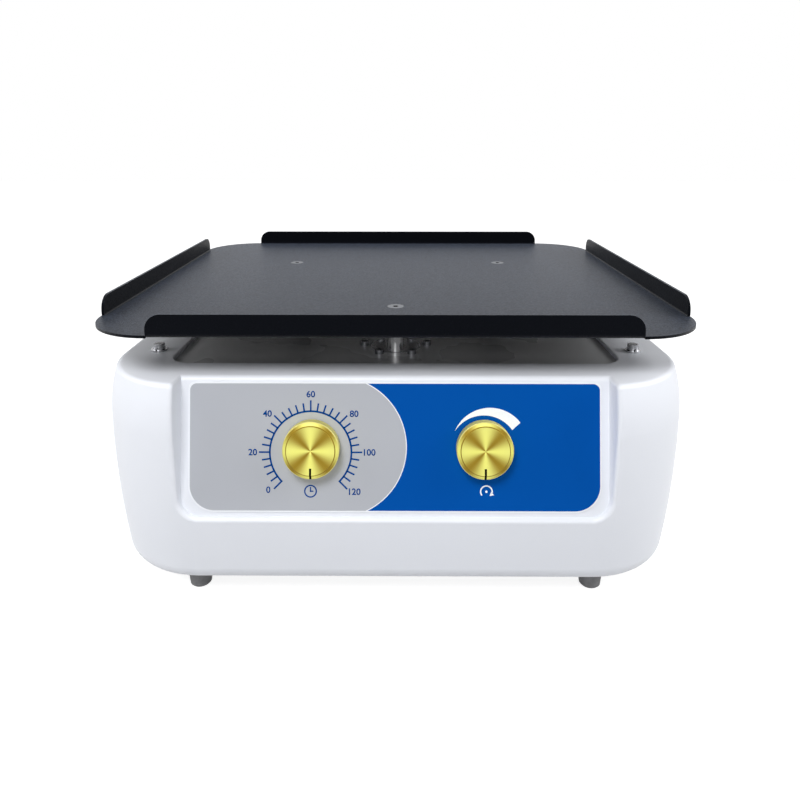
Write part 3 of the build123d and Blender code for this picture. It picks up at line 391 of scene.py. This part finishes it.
def arc_strip(name, radius, width, start, end, steps, thickness):
    """Flat strip along an arc about the origin, spun from a short bar at its start."""
    start_clean()
    bpy.ops.mesh.primitive_plane_add(size=1, location=(radius, 0, 0))
    strip = bpy.context.object
    strip.name = name
    strip.scale = (width, 1, 1)
    bpy.ops.object.transform_apply(location=True, rotation=False, scale=True)
    bpy.ops.object.mode_set(mode="EDIT")
    bpy.ops.mesh.select_mode(type="VERT")
    bpy.ops.mesh.select_all(action="DESELECT")
    bpy.ops.object.mode_set(mode="OBJECT")
    for vertex in strip.data.vertices:
        vertex.select = vertex.co.y > 0
    bpy.ops.object.mode_set(mode="EDIT")
    bpy.ops.mesh.delete(type="VERT")
    bpy.ops.mesh.select_all(action="SELECT")
    bpy.ops.object.mode_set(mode="OBJECT")
    for vertex in strip.data.vertices:
        vertex.co.y = 0
    strip.data.transform(Matrix.Rotation(start, 4, "Z"))
    bpy.ops.object.mode_set(mode="EDIT")
    bpy.ops.mesh.spin(steps=steps, angle=start - end, center=(0, 0, 0), axis=(0, 0, 1))
    bpy.ops.object.mode_set(mode="OBJECT")
    thicken(strip, thickness)
    return strip


def thicken(piece, thickness):
    """Give a flat piece its thickness upwards from z = 0, with its faces turned out."""
    select_only(piece)
    bpy.ops.object.mode_set(mode="EDIT")
    bpy.ops.mesh.select_all(action="SELECT")
    bpy.ops.mesh.remove_doubles(threshold=WELD)
    bpy.ops.mesh.extrude_region_move(TRANSFORM_OT_translate={"value": (0, 0, thickness)})
    bpy.ops.mesh.select_all(action="SELECT")
    bpy.ops.mesh.normals_make_consistent(inside=False)
    bpy.ops.object.mode_set(mode="OBJECT")


def bar(name, width, reach, thickness, inner):
    """Flat bar along +X from a radius outwards, with its corners eased."""
    eased = width * 0.12
    start_clean()
    bpy.ops.mesh.primitive_plane_add(size=1, location=(inner + reach / 2, 0, 0))
    made = bpy.context.object
    made.name = name
    made.scale = (reach, width, 1)
    bpy.ops.object.transform_apply(location=True, rotation=False, scale=True)
    bpy.ops.object.mode_set(mode="EDIT")
    bpy.ops.mesh.select_all(action="SELECT")
    bpy.ops.mesh.bevel(offset=eased, segments=2, affect="VERTICES")
    bpy.ops.object.mode_set(mode="OBJECT")
    thicken(made, thickness)
    return made


def disc(name, radius, thickness, corners):
    """Flat disc about the origin."""
    start_clean()
    bpy.ops.mesh.primitive_circle_add(vertices=corners, radius=radius, fill_type="NGON")
    made = bpy.context.object
    made.name = name
    thicken(made, thickness)
    return made


def copy_turned(piece, angle):
    """Copy of a piece turned about the origin, with its own mesh."""
    twin = piece.copy()
    twin.data = piece.data.copy()
    bpy.context.collection.objects.link(twin)
    twin.data.transform(Matrix.Rotation(angle, 4, "Z"))
    return twin


def join(name, *pieces):
    """Make several pieces one."""
    select_only(*pieces)
    bpy.ops.object.join()
    joined = bpy.context.object
    joined.name = name
    return joined


def written(name, words, height, weight, thickness):
    """Number as a flat mesh, its middle on the origin."""
    start_clean()
    bpy.ops.object.text_add()
    text = bpy.context.object
    text.data.body = words
    text.data.size = height
    text.data.offset = weight
    text.data.align_x = "CENTER"
    text.data.align_y = "CENTER"
    text.data.resolution_u = 4
    bpy.ops.object.convert(target="MESH")
    made = bpy.context.object
    made.name = name
    middle = sum((Vector(corner) for corner in made.bound_box), Vector()) / 8
    made.data.transform(Matrix.Translation((-middle.x, -middle.y, 0)))
    thicken(made, thickness)
    return made


def printed(piece, matrix, material):
    """Lay a flat print piece on the panel, its place in its mesh, and give it its ink."""
    piece.data.transform(matrix)
    piece.data.update()
    piece.data.materials.clear()
    piece.data.materials.append(material)
    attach(piece, "housing")


# Operators, one for each group of pieces
class SHAKER_OT_housing(bpy.types.Operator):
    """Moulded white finish of the housing"""

    bl_idname = "shaker.housing"
    bl_label = "Housing"

    def execute(self, context):
        colours = context.scene.shaker_colours
        white = finish(
            "moulded_white", colours.housing, 0.38, spread=0.008, grain=0.05,
            relief=0.00002, relief_size=0.0007, Specular_IOR_Level=0.4,
        )
        wear(white, "housing_shell")
        return {"FINISHED"}


class SHAKER_OT_deck(bpy.types.Operator):
    """Grey glossy lacquer of the deck plate, which lies in the platform's shade"""

    bl_idname = "shaker.deck"
    bl_label = "Deck plate"

    def execute(self, context):
        colours = context.scene.shaker_colours
        lacquer = finish(
            "deck_lacquer", colours.deck, 0.28, spread=0.01, grain=0.06,
            Specular_IOR_Level=0.5, Coat_Weight=0.25, Coat_Roughness=0.08,
        )
        wear(lacquer, "deck_plate")
        return {"FINISHED"}


class SHAKER_OT_platform(bpy.types.Operator):
    """Powder coat of the folded platform, with painted sheen on the flat, and its countersunk screws with
    painted shade in their crevices
    """

    bl_idname = "shaker.platform"
    bl_label = "Platform"

    def execute(self, context):
        colours = context.scene.shaker_colours
        coat = finish(
            "powder_coat", colours.platform, 0.42, spread=0.1, grain=0.0008,
            relief=0.00018, relief_size=0.0008,
            Specular_IOR_Level=0.2, Specular_Tint=(0.1, 0.12, 0.18, 1.0),
            Sheen_Roughness=0.4, Sheen_Tint=(0.52, 0.62, 0.84, 1.0),
        )
        tree = coat.node_tree
        # Painted sheen: more sheen on the upward flat than on the folded walls, so the flat shows lighter
        # under the lamps; a random speckle varies it
        direction = tree.nodes.new("ShaderNodeSeparateXYZ")
        put(tree, tree.nodes.new("ShaderNodeTexCoord").outputs["Normal"], direction.inputs[0])
        sloping, level = 0.5, 0.9
        wall_sheen, flat_sheen = 0.02, 0.18
        top_sheen = between(tree, direction.outputs["Z"], sloping, level, wall_sheen, flat_sheen)
        speckle_size, thin, thick = 0.0013, 0.55, 1.45
        speckle = varied(tree, mottled(tree, speckle_size, 2.0), thin, thick)
        sheen = tree.nodes["Principled BSDF"].inputs["Sheen Weight"]
        put(tree, maths(tree, "MULTIPLY", top_sheen, speckle), sheen)
        wear(coat, "platform")
        # The screws get painted shade in their crevices
        screws = finish(
            "platform_screws", colours.screw_heads, 0.3, metal=1.0, spread=0.1, grain=0.001, crevice_shade=0.004,
        )
        wear(screws, "platform_screws")
        return {"FINISHED"}


class SHAKER_OT_drive(bpy.types.Operator):
    """Cranks, bearings, pulleys, belt and motor"""

    bl_idname = "shaker.drive"
    bl_label = "Drive"

    def execute(self, context):
        colours = context.scene.shaker_colours
        ground = finish("ground_steel", colours.steel, 0.22, metal=1.0, spread=0.05, grain=0.006)
        wear(ground, "front_crank", "right_crank", "left_crank", "motor_shaft")
        wear(ground, "main_bearings", "pin_bearings")
        cast = finish(
            "turned_aluminium", colours.aluminium, 0.4, metal=1.0, spread=0.05, grain=0.004, relief=0.00002,
        )
        wear(cast, "bearing_housings", "bearing_spacers", "crank_pulley", "motor_pulley", "platform_hubs")
        plated = finish("plated_weights", colours.zinc, 0.35, metal=1.0, spread=0.08, grain=0.005)
        wear(plated, "front_weight", "right_weight", "left_weight", "motor_bracket", "bracket_posts")
        rubber = finish("belt_rubber", colours.rubber, 0.7, spread=0.2, grain=0.003, relief=0.00004)
        wear(rubber, "drive_belt")
        paint = finish("motor_paint", colours.base_paint, 0.5, spread=0.05, grain=0.006, relief=0.00002)
        wear(paint, "motor")
        return {"FINISHED"}


class SHAKER_OT_fastenings(bpy.types.Operator):
    """Screws, washers, nuts and posts"""

    bl_idname = "shaker.fastenings"
    bl_label = "Fastenings"

    def execute(self, context):
        colours = context.scene.shaker_colours
        # The zinc parts get painted shade in their crevices
        zinc = finish("zinc_plate", colours.zinc, 0.2, metal=1.0, spread=0.1, grain=0.002, crevice_shade=0.0012)
        wear(zinc, "corner_screws", "corner_washers", "corner_spring_washers", "corner_posts")
        wear(zinc, "base_screws", "foot_screws", "inlet_screws", "board_screws", "transformer_screws")
        wear(zinc, "timer_nut", "speed_nut")
        # The dark steel parts get painted shade in their crevices
        dark = finish(
            "oiled_steel", colours.dark_steel, 0.25, metal=1.0, spread=0.12, grain=0.002, crevice_shade=0.0006,
        )
        wear(dark, "bearing_housing_screws", "bracket_screws", "motor_screws")
        wear(dark, "front_grub_screws", "right_grub_screw", "left_grub_screw")
        return {"FINISHED"}


class SHAKER_OT_underside(bpy.types.Operator):
    """Rubber feet and painted base plate"""

    bl_idname = "shaker.underside"
    bl_label = "Feet and base"

    def execute(self, context):
        colours = context.scene.shaker_colours
        rubber = finish(
            "foot_rubber", colours.foot, 0.5, spread=0.1, grain=0.003,
            relief=0.00003, relief_size=0.0006, Specular_IOR_Level=0.1,
        )
        wear(rubber, "feet")
        paint = finish("base_paint", colours.base_paint, 0.5, spread=0.05, grain=0.01, relief=0.00002)
        wear(paint, "base_plate")
        return {"FINISHED"}


class SHAKER_OT_back(bpy.types.Operator):
    """Black plastic of the connectors at the back, the timer's case and the board's spacers"""

    bl_idname = "shaker.back"
    bl_label = "Rear connectors"

    def execute(self, context):
        colours = context.scene.shaker_colours
        plastic = finish(
            "moulded_black", colours.black_plastic, 0.45, spread=0.15, grain=0.002,
            relief=0.00003, relief_size=0.0005,
        )
        wear(plastic, "mains_inlet", "fuse_holder", "switch_frame", "timer_unit", "board_spacers")
        smooth = finish("smooth_black", colours.black_plastic, 0.25, spread=0.1, grain=0.004)
        wear(smooth, "fuse_cap", "switch_rocker")
        blades = finish("plated_blades", colours.steel, 0.25, metal=1.0, spread=0.06, grain=0.002)
        wear(blades, "inlet_blades")
        return {"FINISHED"}


class SHAKER_OT_electrics(bpy.types.Operator):
    """Transformer, board and speed control inside the housing"""

    bl_idname = "shaker.electrics"
    bl_label = "Electrics"

    def execute(self, context):
        colours = context.scene.shaker_colours
        core = layered(
            "laminated_core", colours.dark_steel, shade=0.6, size=0.001, stretch=(0.05, 1.0, 0.05),
            metal=0.8, rough=0.45,
        )
        wear(core, "transformer_core")
        coil = layered(
            "wound_copper", colours.copper, shade=0.45, size=0.0007, stretch=(0.04, 0.04, 1.0),
            metal=0.6, rough=0.3, relief=0.0002,
        )
        wear(coil, "transformer_coil")
        wear(finish("board_lacquer", colours.board, 0.3, spread=0.2, grain=0.003), "control_board")
        case = finish("control_case", colours.zinc, 0.35, metal=1.0, spread=0.08, grain=0.003)
        wear(case, "speed_potentiometer")
        sawn = finish("sawn_aluminium", colours.aluminium, 0.45, metal=1.0, spread=0.1, grain=0.001)
        wear(sawn, "heat_sink")
        return {"FINISHED"}


def knob_gold(name, axis, colours, sizes):
    """Spun gold with painted reflections: four bright rays and four dark ones, a turned ring in painted
    shade, and a black line to the rim.
    """
    rays, streak_scale, streak_share = 4.0, 9.0, 0.35
    metal, mirror, side_rough, face_rough = 0.85, 0.5, 0.62, 0.4
    line_black = (0.012, 0.01, 0.006)
    made, tree, shader = new_material(name)
    # Both knobs stand out from the panel equally far
    top = max((vertex.co - TIMER_AXIS).dot(PANEL_OUT) for vertex in NODES["timer_knob"].data.vertices)
    u, v, w = from_point(tree, axis, PANEL_RIGHT, PANEL_UP, PANEL_OUT)
    radius = diagonal(tree, u, v)
    # Painted reflection: four bright and four dark rays, made uneven by streaks, stand in for the spun
    # metal's reflections
    angle = maths(tree, "ARCTAN2", v, u)
    ray = maths(tree, "COSINE", maths(tree, "MULTIPLY", angle, rays))
    streaks = tree.nodes.new("ShaderNodeTexNoise")
    streaks.noise_dimensions = "1D"
    streaks.inputs["Detail"].default_value = 4.0
    put(tree, maths(tree, "MULTIPLY", angle, streak_scale), streaks.inputs["W"])
    uneven = maths(tree, "MULTIPLY", maths(tree, "SUBTRACT", streaks.outputs[0], 0.5), streak_share)
    light = maths(tree, "MULTIPLY_ADD", maths(tree, "ADD", ray, uneven), 0.5, 0.5)
    painted_reflection = mixed(tree, light, colours.gold_painted_dark, colours.gold_painted_bright)
    # Painted shade along the fine turned ring
    beside_ring = between(tree, apart(tree, radius, sizes.ring_radius), sizes.ring_core, sizes.ring_fade)
    painted_reflection = mixed(tree, beside_ring, colours.gold_painted_dark, painted_reflection)
    on_face = between(tree, w, top - sizes.rays_end, top - sizes.rays_fade)
    shown = mixed(tree, on_face, colours.gold_side, painted_reflection)
    in_line = maths(tree, "LESS_THAN", maths(tree, "ABSOLUTE", u), sizes.line_width / 2)
    below_start = maths(tree, "LESS_THAN", v, -sizes.line_start)
    near_face = maths(tree, "GREATER_THAN", w, top - sizes.line_depth)
    line = maths(tree, "MULTIPLY", maths(tree, "MULTIPLY", in_line, below_start), near_face)
    bare = maths(tree, "SUBTRACT", 1.0, line)
    put(tree, mixed(tree, line, shown, line_black), shader.inputs["Base Color"])
    put(tree, maths(tree, "MULTIPLY", bare, metal), shader.inputs["Metallic"])
    put(tree, maths(tree, "MULTIPLY", bare, mirror), shader.inputs["Specular IOR Level"])
    rough = between(tree, w, top - sizes.gloss_edge, top, side_rough, face_rough)
    put(tree, rough, shader.inputs["Roughness"])
    grooves = maths(tree, "SINE", maths(tree, "MULTIPLY", radius, 2 * math.pi / sizes.groove_pitch))
    bumped(tree, shader, grooves, sizes.groove_depth, 0.5)
    return made


class SHAKER_OT_knobs(bpy.types.Operator):
    """Spun gold knobs with their shafts"""

    bl_idname = "shaker.knobs"
    bl_label = "Knobs"

    def execute(self, context):
        colours = context.scene.shaker_colours
        for control, axis in (("timer", TIMER_AXIS), ("speed", SPEED_AXIS)):
            gold = knob_gold(f"{control}_gold", axis, colours, context.scene.shaker_knobs)
            wear(gold, f"{control}_knob")
        steel = finish("shaft_steel", colours.steel, 0.25, metal=1.0, spread=0.05)
        wear(steel, "timer_shaft", "speed_shaft")
        return {"FINISHED"}


class SHAKER_OT_film(bpy.types.Operator):
    """Printed film: a grey and a blue field, split by an arc, in a pale border"""

    bl_idname = "shaker.film"
    bl_label = "Printed film"

    def execute(self, context):
        colours, sizes = context.scene.shaker_colours, context.scene.shaker_print
        made, tree, shader = new_material("printed_film")
        middle = TIMER_AXIS.copy()
        middle.x = 0
        u, v = from_point(tree, middle, PANEL_RIGHT, PANEL_UP)
        border = self.border(tree, u, v, middle, sizes)
        arc_u = maths(tree, "SUBTRACT", u, -sizes.field_left)
        arc_v = maths(tree, "SUBTRACT", v, -sizes.field_drop)
        reach = diagonal(tree, arc_u, arc_v)
        left = maths(tree, "LESS_THAN", u, -sizes.field_left)
        grey = maths(tree, "MAXIMUM", left, maths(tree, "LESS_THAN", reach, sizes.field_radius))
        right = maths(tree, "SUBTRACT", 1.0, left)
        line = maths(tree, "LESS_THAN", apart(tree, reach, sizes.field_radius), sizes.split_width / 2)
        line = maths(tree, "MULTIPLY", line, right)
        field = mixed(tree, grey, colours.film_blue, colours.film_grey)
        field = mixed(tree, maths(tree, "MAXIMUM", border, line), field, colours.film_edge)
        put(tree, field, shader.inputs["Base Color"])
        spot_size, smooth, dull, mirror = 0.003, 0.4, 0.46, 0.03
        grain_size, grain_depth = 0.0004, 0.00001
        put(tree, varied(tree, mottled(tree, spot_size), smooth, dull), shader.inputs["Roughness"])
        shader.inputs["Specular IOR Level"].default_value = mirror
        bumped(tree, shader, mottled(tree, grain_size, 2.0), grain_depth)
        wear(made, "control_overlay")
        return {"FINISHED"}

    def border(self, tree, u, v, middle, sizes):
        """One along the film's edge, which has tight upper and wide lower corners, nought inside."""
        points = [vertex.co - middle for vertex in NODES["control_overlay"].data.vertices]
        high = max(point.dot(PANEL_UP) for point in points)
        low = min(point.dot(PANEL_UP) for point in points)
        half_u = max(point.dot(PANEL_RIGHT) for point in points)
        half_v = (high - low) / 2
        v_mid = maths(tree, "SUBTRACT", v, (high + low) / 2)
        upper = maths(tree, "GREATER_THAN", v_mid, 0.0)
        difference = sizes.upper_corner - sizes.lower_corner
        corner = maths(tree, "MULTIPLY_ADD", upper, difference, sizes.lower_corner)
        over_u, over_v = [
            maths(tree, "ADD", maths(tree, "SUBTRACT", maths(tree, "ABSOLUTE", place), half), corner)
            for place, half in ((u, half_u), (v_mid, half_v))
        ]
        outside = diagonal(tree, *[maths(tree, "MAXIMUM", over, 0.0) for over in (over_u, over_v)])
        inside = maths(tree, "MINIMUM", maths(tree, "MAXIMUM", over_u, over_v), 0.0)
        edge = maths(tree, "SUBTRACT", maths(tree, "ADD", outside, inside), corner)
        return maths(tree, "GREATER_THAN", edge, -sizes.border_width)


class SHAKER_OT_dial(bpy.types.Operator):
    """Ring, divisions and numbers of the timer dial"""

    bl_idname = "shaker.dial"
    bl_label = "Timer dial"

    def execute(self, context):
        colours, sizes = context.scene.shaker_colours, context.scene.shaker_print
        ink = print_ink("dial_ink", colours.dial_ink, 0.06)
        outer = sizes.dial_radius + sizes.ring_width / 2
        inner = sizes.dial_radius - sizes.ring_width / 2
        first, sweep, ring_steps = math.radians(225), math.radians(270), 120
        divisions, numbered, minutes = 30, 5, 4
        wide_share = 0.35
        ring = arc_strip(
            "dial_ring", sizes.dial_radius, sizes.ring_width, first, first - sweep, ring_steps, sizes.ink,
        )
        root = outer - inner
        long_bar = bar("long_division", sizes.tick_width, sizes.long_tick + root, sizes.ink, inner)
        short_bar = bar("short_division", sizes.tick_width, sizes.short_tick + root, sizes.ink, inner)
        angles = [first - sweep * step / divisions for step in range(divisions + 1)]
        ticks = []
        for step, angle in enumerate(angles):
            ticks.append(copy_turned(short_bar if step % numbered else long_bar, angle))
        for pattern in (long_bar, short_bar):
            bpy.data.objects.remove(pattern)
        place = panel_place(TIMER_AXIS, v=sizes.drop, u=sizes.dial_shift, w=sizes.film)
        printed(join("dial_scale", ring, *ticks), place, ink)
        numbers = []
        for step in range(0, divisions + 1, numbered):
            shown = str(step * minutes)
            number = written(f"number_{shown}", shown, sizes.number_height, sizes.number_weight, sizes.ink)
            wide = (number.dimensions.x - sizes.number_height) * wide_share
            reach = outer + sizes.long_tick + sizes.number_gap + wide
            angle = angles[step] - sizes.number_lean * math.sin(2 * angles[step])
            number.data.transform(Matrix.Translation((reach * math.cos(angle), reach * math.sin(angle), 0)))
            numbers.append(number)
        printed(join("dial_numbers", *numbers), place, ink)
        return {"FINISHED"}


class SHAKER_OT_speed_mark(bpy.types.Operator):
    """White arc over the speed knob that widens to the right"""

    bl_idname = "shaker.speed_mark"
    bl_label = "Speed mark"

    def execute(self, context):
        colours, sizes = context.scene.shaker_colours, context.scene.shaker_print
        ink = print_ink("mark_ink", colours.mark_ink, 0.02)
        start, end, steps, unit = math.radians(144.8), math.radians(42.2), 72, 1.0
        sweep = arc_strip("speed_sweep", unit, unit, start, end, steps, sizes.ink)
        # Two circles, whose middles lie apart, bound the mark
        outer_radius, outer_x, outer_y = 20.0 * MM, 2.0 * MM, 3.74 * MM
        inner_radius, inner_x, inner_y = 18.12 * MM, -1.24 * MM, 1.68 * MM
        for vertex in sweep.data.vertices:
            angle = math.atan2(vertex.co.y, vertex.co.x)
            far = math.hypot(vertex.co.x, vertex.co.y) > unit
            radius, x, y = (outer_radius, outer_x, outer_y) if far else (inner_radius, inner_x, inner_y)
            across = x * math.cos(angle) + y * math.sin(angle)
            reach = across + math.sqrt(across**2 - x**2 - y**2 + radius**2)
            vertex.co.x = reach * math.cos(angle)
            vertex.co.y = reach * math.sin(angle)
        sweep.data.update()
        down = sizes.drop - sizes.mark_drop
        printed(sweep, panel_place(SPEED_AXIS, v=down, u=sizes.mark_shift, w=sizes.film), ink)
        return {"FINISHED"}


class SHAKER_OT_symbols(bpy.types.Operator):
    """Clock symbol under the timer knob and turning arrow under the speed knob"""

    bl_idname = "shaker.symbols"
    bl_label = "Symbols"

    def execute(self, context):
        colours, sizes = context.scene.shaker_colours, context.scene.shaker_print
        radius = sizes.symbol_radius
        width = 0.7 * MM
        hand_width = width * 0.9
        arc_start, arc_end = math.radians(220), math.radians(-20)
        arrow_place, arrow_turn = math.radians(-26), math.radians(-110)
        down = sizes.drop - sizes.symbol_drop
        navy = print_ink("symbol_navy", colours.dial_ink, 0.06)
        white = print_ink("symbol_white", colours.mark_ink, 0.02)
        face = arc_strip("clock_face", radius, width, 2 * math.pi, 0.0, 48, sizes.ink)
        upright = bar("clock_hand", hand_width, radius * 0.72, sizes.ink, 0.0)
        long_hand = copy_turned(upright, math.radians(90))
        short_hand = bar("short_hand", hand_width, radius * 0.5, sizes.ink, 0.0)
        bpy.data.objects.remove(upright)
        hub = disc("clock_hub", width * 0.6, sizes.ink, 20)
        clock = join("clock_symbol", face, long_hand, short_hand, hub)
        printed(clock, panel_place(TIMER_AXIS, v=down, u=sizes.dial_shift, w=sizes.film), navy)
        turn = arc_strip("turning_arc", radius, width, arc_start, arc_end, 40, sizes.ink)
        head = disc("arrow_head", width * 1.9, sizes.ink, 3)
        head.data.transform(Matrix.Rotation(arrow_turn, 4, "Z"))
        tip = (radius * math.cos(arrow_place), radius * math.sin(arrow_place), 0)
        head.data.transform(Matrix.Translation(tip))
        dot = disc("turning_hub", width * 0.9, sizes.ink, 24)
        arrow = join("turning_symbol", turn, head, dot)
        printed(arrow, panel_place(SPEED_AXIS, v=down, u=sizes.mark_shift, w=sizes.film), white)
        return {"FINISHED"}


class SHAKER_OT_studio(bpy.types.Operator):
    """Pale floor, soft lamps, white surroundings and the camera"""

    bl_idname = "shaker.studio"
    bl_label = "Studio"

    def execute(self, context):
        scene = context.scene
        studio = scene.shaker_studio
        start_clean()
        bpy.ops.mesh.primitive_plane_add(size=studio.floor_side)
        floor = context.object
        floor.name = "studio_floor"
        floor.data.materials.append(self.floor_white(studio.floor_glow))
        self.surroundings(scene, studio.sky)
        lamps = (
            ("front_lamp", (-0.34, -1.1, 1.28), (0, -0.1, 0.08), 0.6),
            ("low_lamp", (-0.15, -1.55, 0.62), (0, -0.05, 0.13), 0.4),
            ("left_lamp", (-1.2, -0.18, 0.8), (0, 0, 0.06), 0.8),
            ("right_lamp", (1.2, -0.18, 0.8), (0, 0, 0.06), 0.8),
        )
        for name, place, target, side in lamps:
            self.lamp(name, place, target, side, getattr(studio, name))
        self.camera(scene, studio)
        scene.view_settings.view_transform = "Standard"
        return {"FINISHED"}

    def camera(self, scene, studio):
        """Camera at its fitted place, level across and looking a little down."""
        data = bpy.data.cameras.new("studio_camera")
        made = bpy.data.objects.new("studio_camera", data)
        scene.collection.objects.link(made)
        made.location = studio.place
        made.rotation_euler = (math.radians(90) - studio.pitch, 0, studio.turn)
        data.sensor_width = 36
        data.lens = studio.focal
        data.shift_x = studio.shift_x
        data.shift_y = studio.shift_y
        data.clip_start = 0.01
        data.clip_end = 50
        scene.camera = made

    def floor_white(self, glow_strength):
        """White floor that the camera sees as bright as the surroundings, but for the shadow on it."""
        albedo, rough = 0.45, 0.9
        near, far = 0.5, 1.6
        made, tree, shader = new_material("floor_white")
        shader.inputs["Base Color"].default_value = (albedo, albedo, albedo, 1)
        shader.inputs["Roughness"].default_value = rough
        shader.inputs["Specular IOR Level"].default_value = 0.0
        distance = vector_maths(tree, "LENGTH", object_place(tree))
        strength = between(tree, distance, near, far, glow_strength, 1.0)
        glow = tree.nodes.new("ShaderNodeEmission")
        put(tree, maths(tree, "MULTIPLY", self.looked_at(tree), strength), glow.inputs["Strength"])
        both = tree.nodes.new("ShaderNodeAddShader")
        tree.links.new(shader.outputs[0], both.inputs[0])
        tree.links.new(glow.outputs[0], both.inputs[1])
        tree.links.new(both.outputs[0], tree.nodes["Material Output"].inputs["Surface"])
        return made

    def surroundings(self, scene, sky):
        """Surroundings that look white and light the object softly."""
        world = bpy.data.worlds.new("white_surroundings")
        scene.world = world
        world.use_nodes = True
        tree = world.node_tree
        background = tree.nodes["Background"]
        background.inputs["Color"].default_value = (1, 1, 1, 1)
        strength = maths(tree, "MULTIPLY_ADD", self.looked_at(tree), 1.0 - sky, sky)
        put(tree, strength, background.inputs["Strength"])

    def looked_at(self, tree):
        """One for what the camera sees straight, mirrored or through something, nought for plain light."""
        path = tree.nodes.new("ShaderNodeLightPath")
        seen = maths(tree, "MAXIMUM", path.outputs["Is Camera Ray"], path.outputs["Is Glossy Ray"])
        return maths(tree, "MAXIMUM", seen, path.outputs["Is Transmission Ray"])

    def lamp(self, name, place, target, side, power):
        """Square soft lamp that looks at a point."""
        data = bpy.data.lights.new(name, "AREA")
        data.size = side
        data.energy = power
        made = bpy.data.objects.new(name, data)
        bpy.context.scene.collection.objects.link(made)
        made.location = place
        made.rotation_euler = (Vector(target) - Vector(place)).to_track_quat("-Z", "Y").to_euler()


STEPS = (
    SHAKER_OT_housing,
    SHAKER_OT_deck,
    SHAKER_OT_platform,
    SHAKER_OT_drive,
    SHAKER_OT_fastenings,
    SHAKER_OT_underside,
    SHAKER_OT_back,
    SHAKER_OT_electrics,
    SHAKER_OT_knobs,
    SHAKER_OT_film,
    SHAKER_OT_dial,
    SHAKER_OT_speed_mark,
    SHAKER_OT_symbols,
    SHAKER_OT_studio,
)


class SHAKER_PT_panel(bpy.types.Panel):
    """Buttons for each step, with the settings below"""

    bl_idname = "SHAKER_PT_panel"
    bl_label = "Orbital shaker"
    bl_space_type = "VIEW_3D"
    bl_region_type = "UI"
    bl_category = "Shaker"

    def draw(self, context):
        for step in STEPS:
            self.layout.operator(step.bl_idname)
        for kept_as, group in GROUPS.items():
            for name in group.__annotations__:
                self.layout.prop(getattr(context.scene, kept_as), name)


GROUPS = {
    "shaker_colours": ShakerColours,
    "shaker_knobs": ShakerKnobs,
    "shaker_print": ShakerPrint,
    "shaker_studio": ShakerStudio,
}


def register():
    for group in GROUPS.values():
        bpy.utils.register_class(group)
    for step in (*STEPS, SHAKER_PT_panel):
        bpy.utils.register_class(step)
    for name, group in GROUPS.items():
        setattr(bpy.types.Scene, name, PointerProperty(type=group))


def unregister():
    for name in GROUPS:
        delattr(bpy.types.Scene, name)
    for step in (*STEPS, SHAKER_PT_panel):
        bpy.utils.unregister_class(step)
    for group in GROUPS.values():
        bpy.utils.unregister_class(group)


def main():
    register()
    for step in STEPS:
        area, name = step.bl_idname.split(".")
        getattr(getattr(bpy.ops, area), name)()


if __name__ == "__main__":
    main()
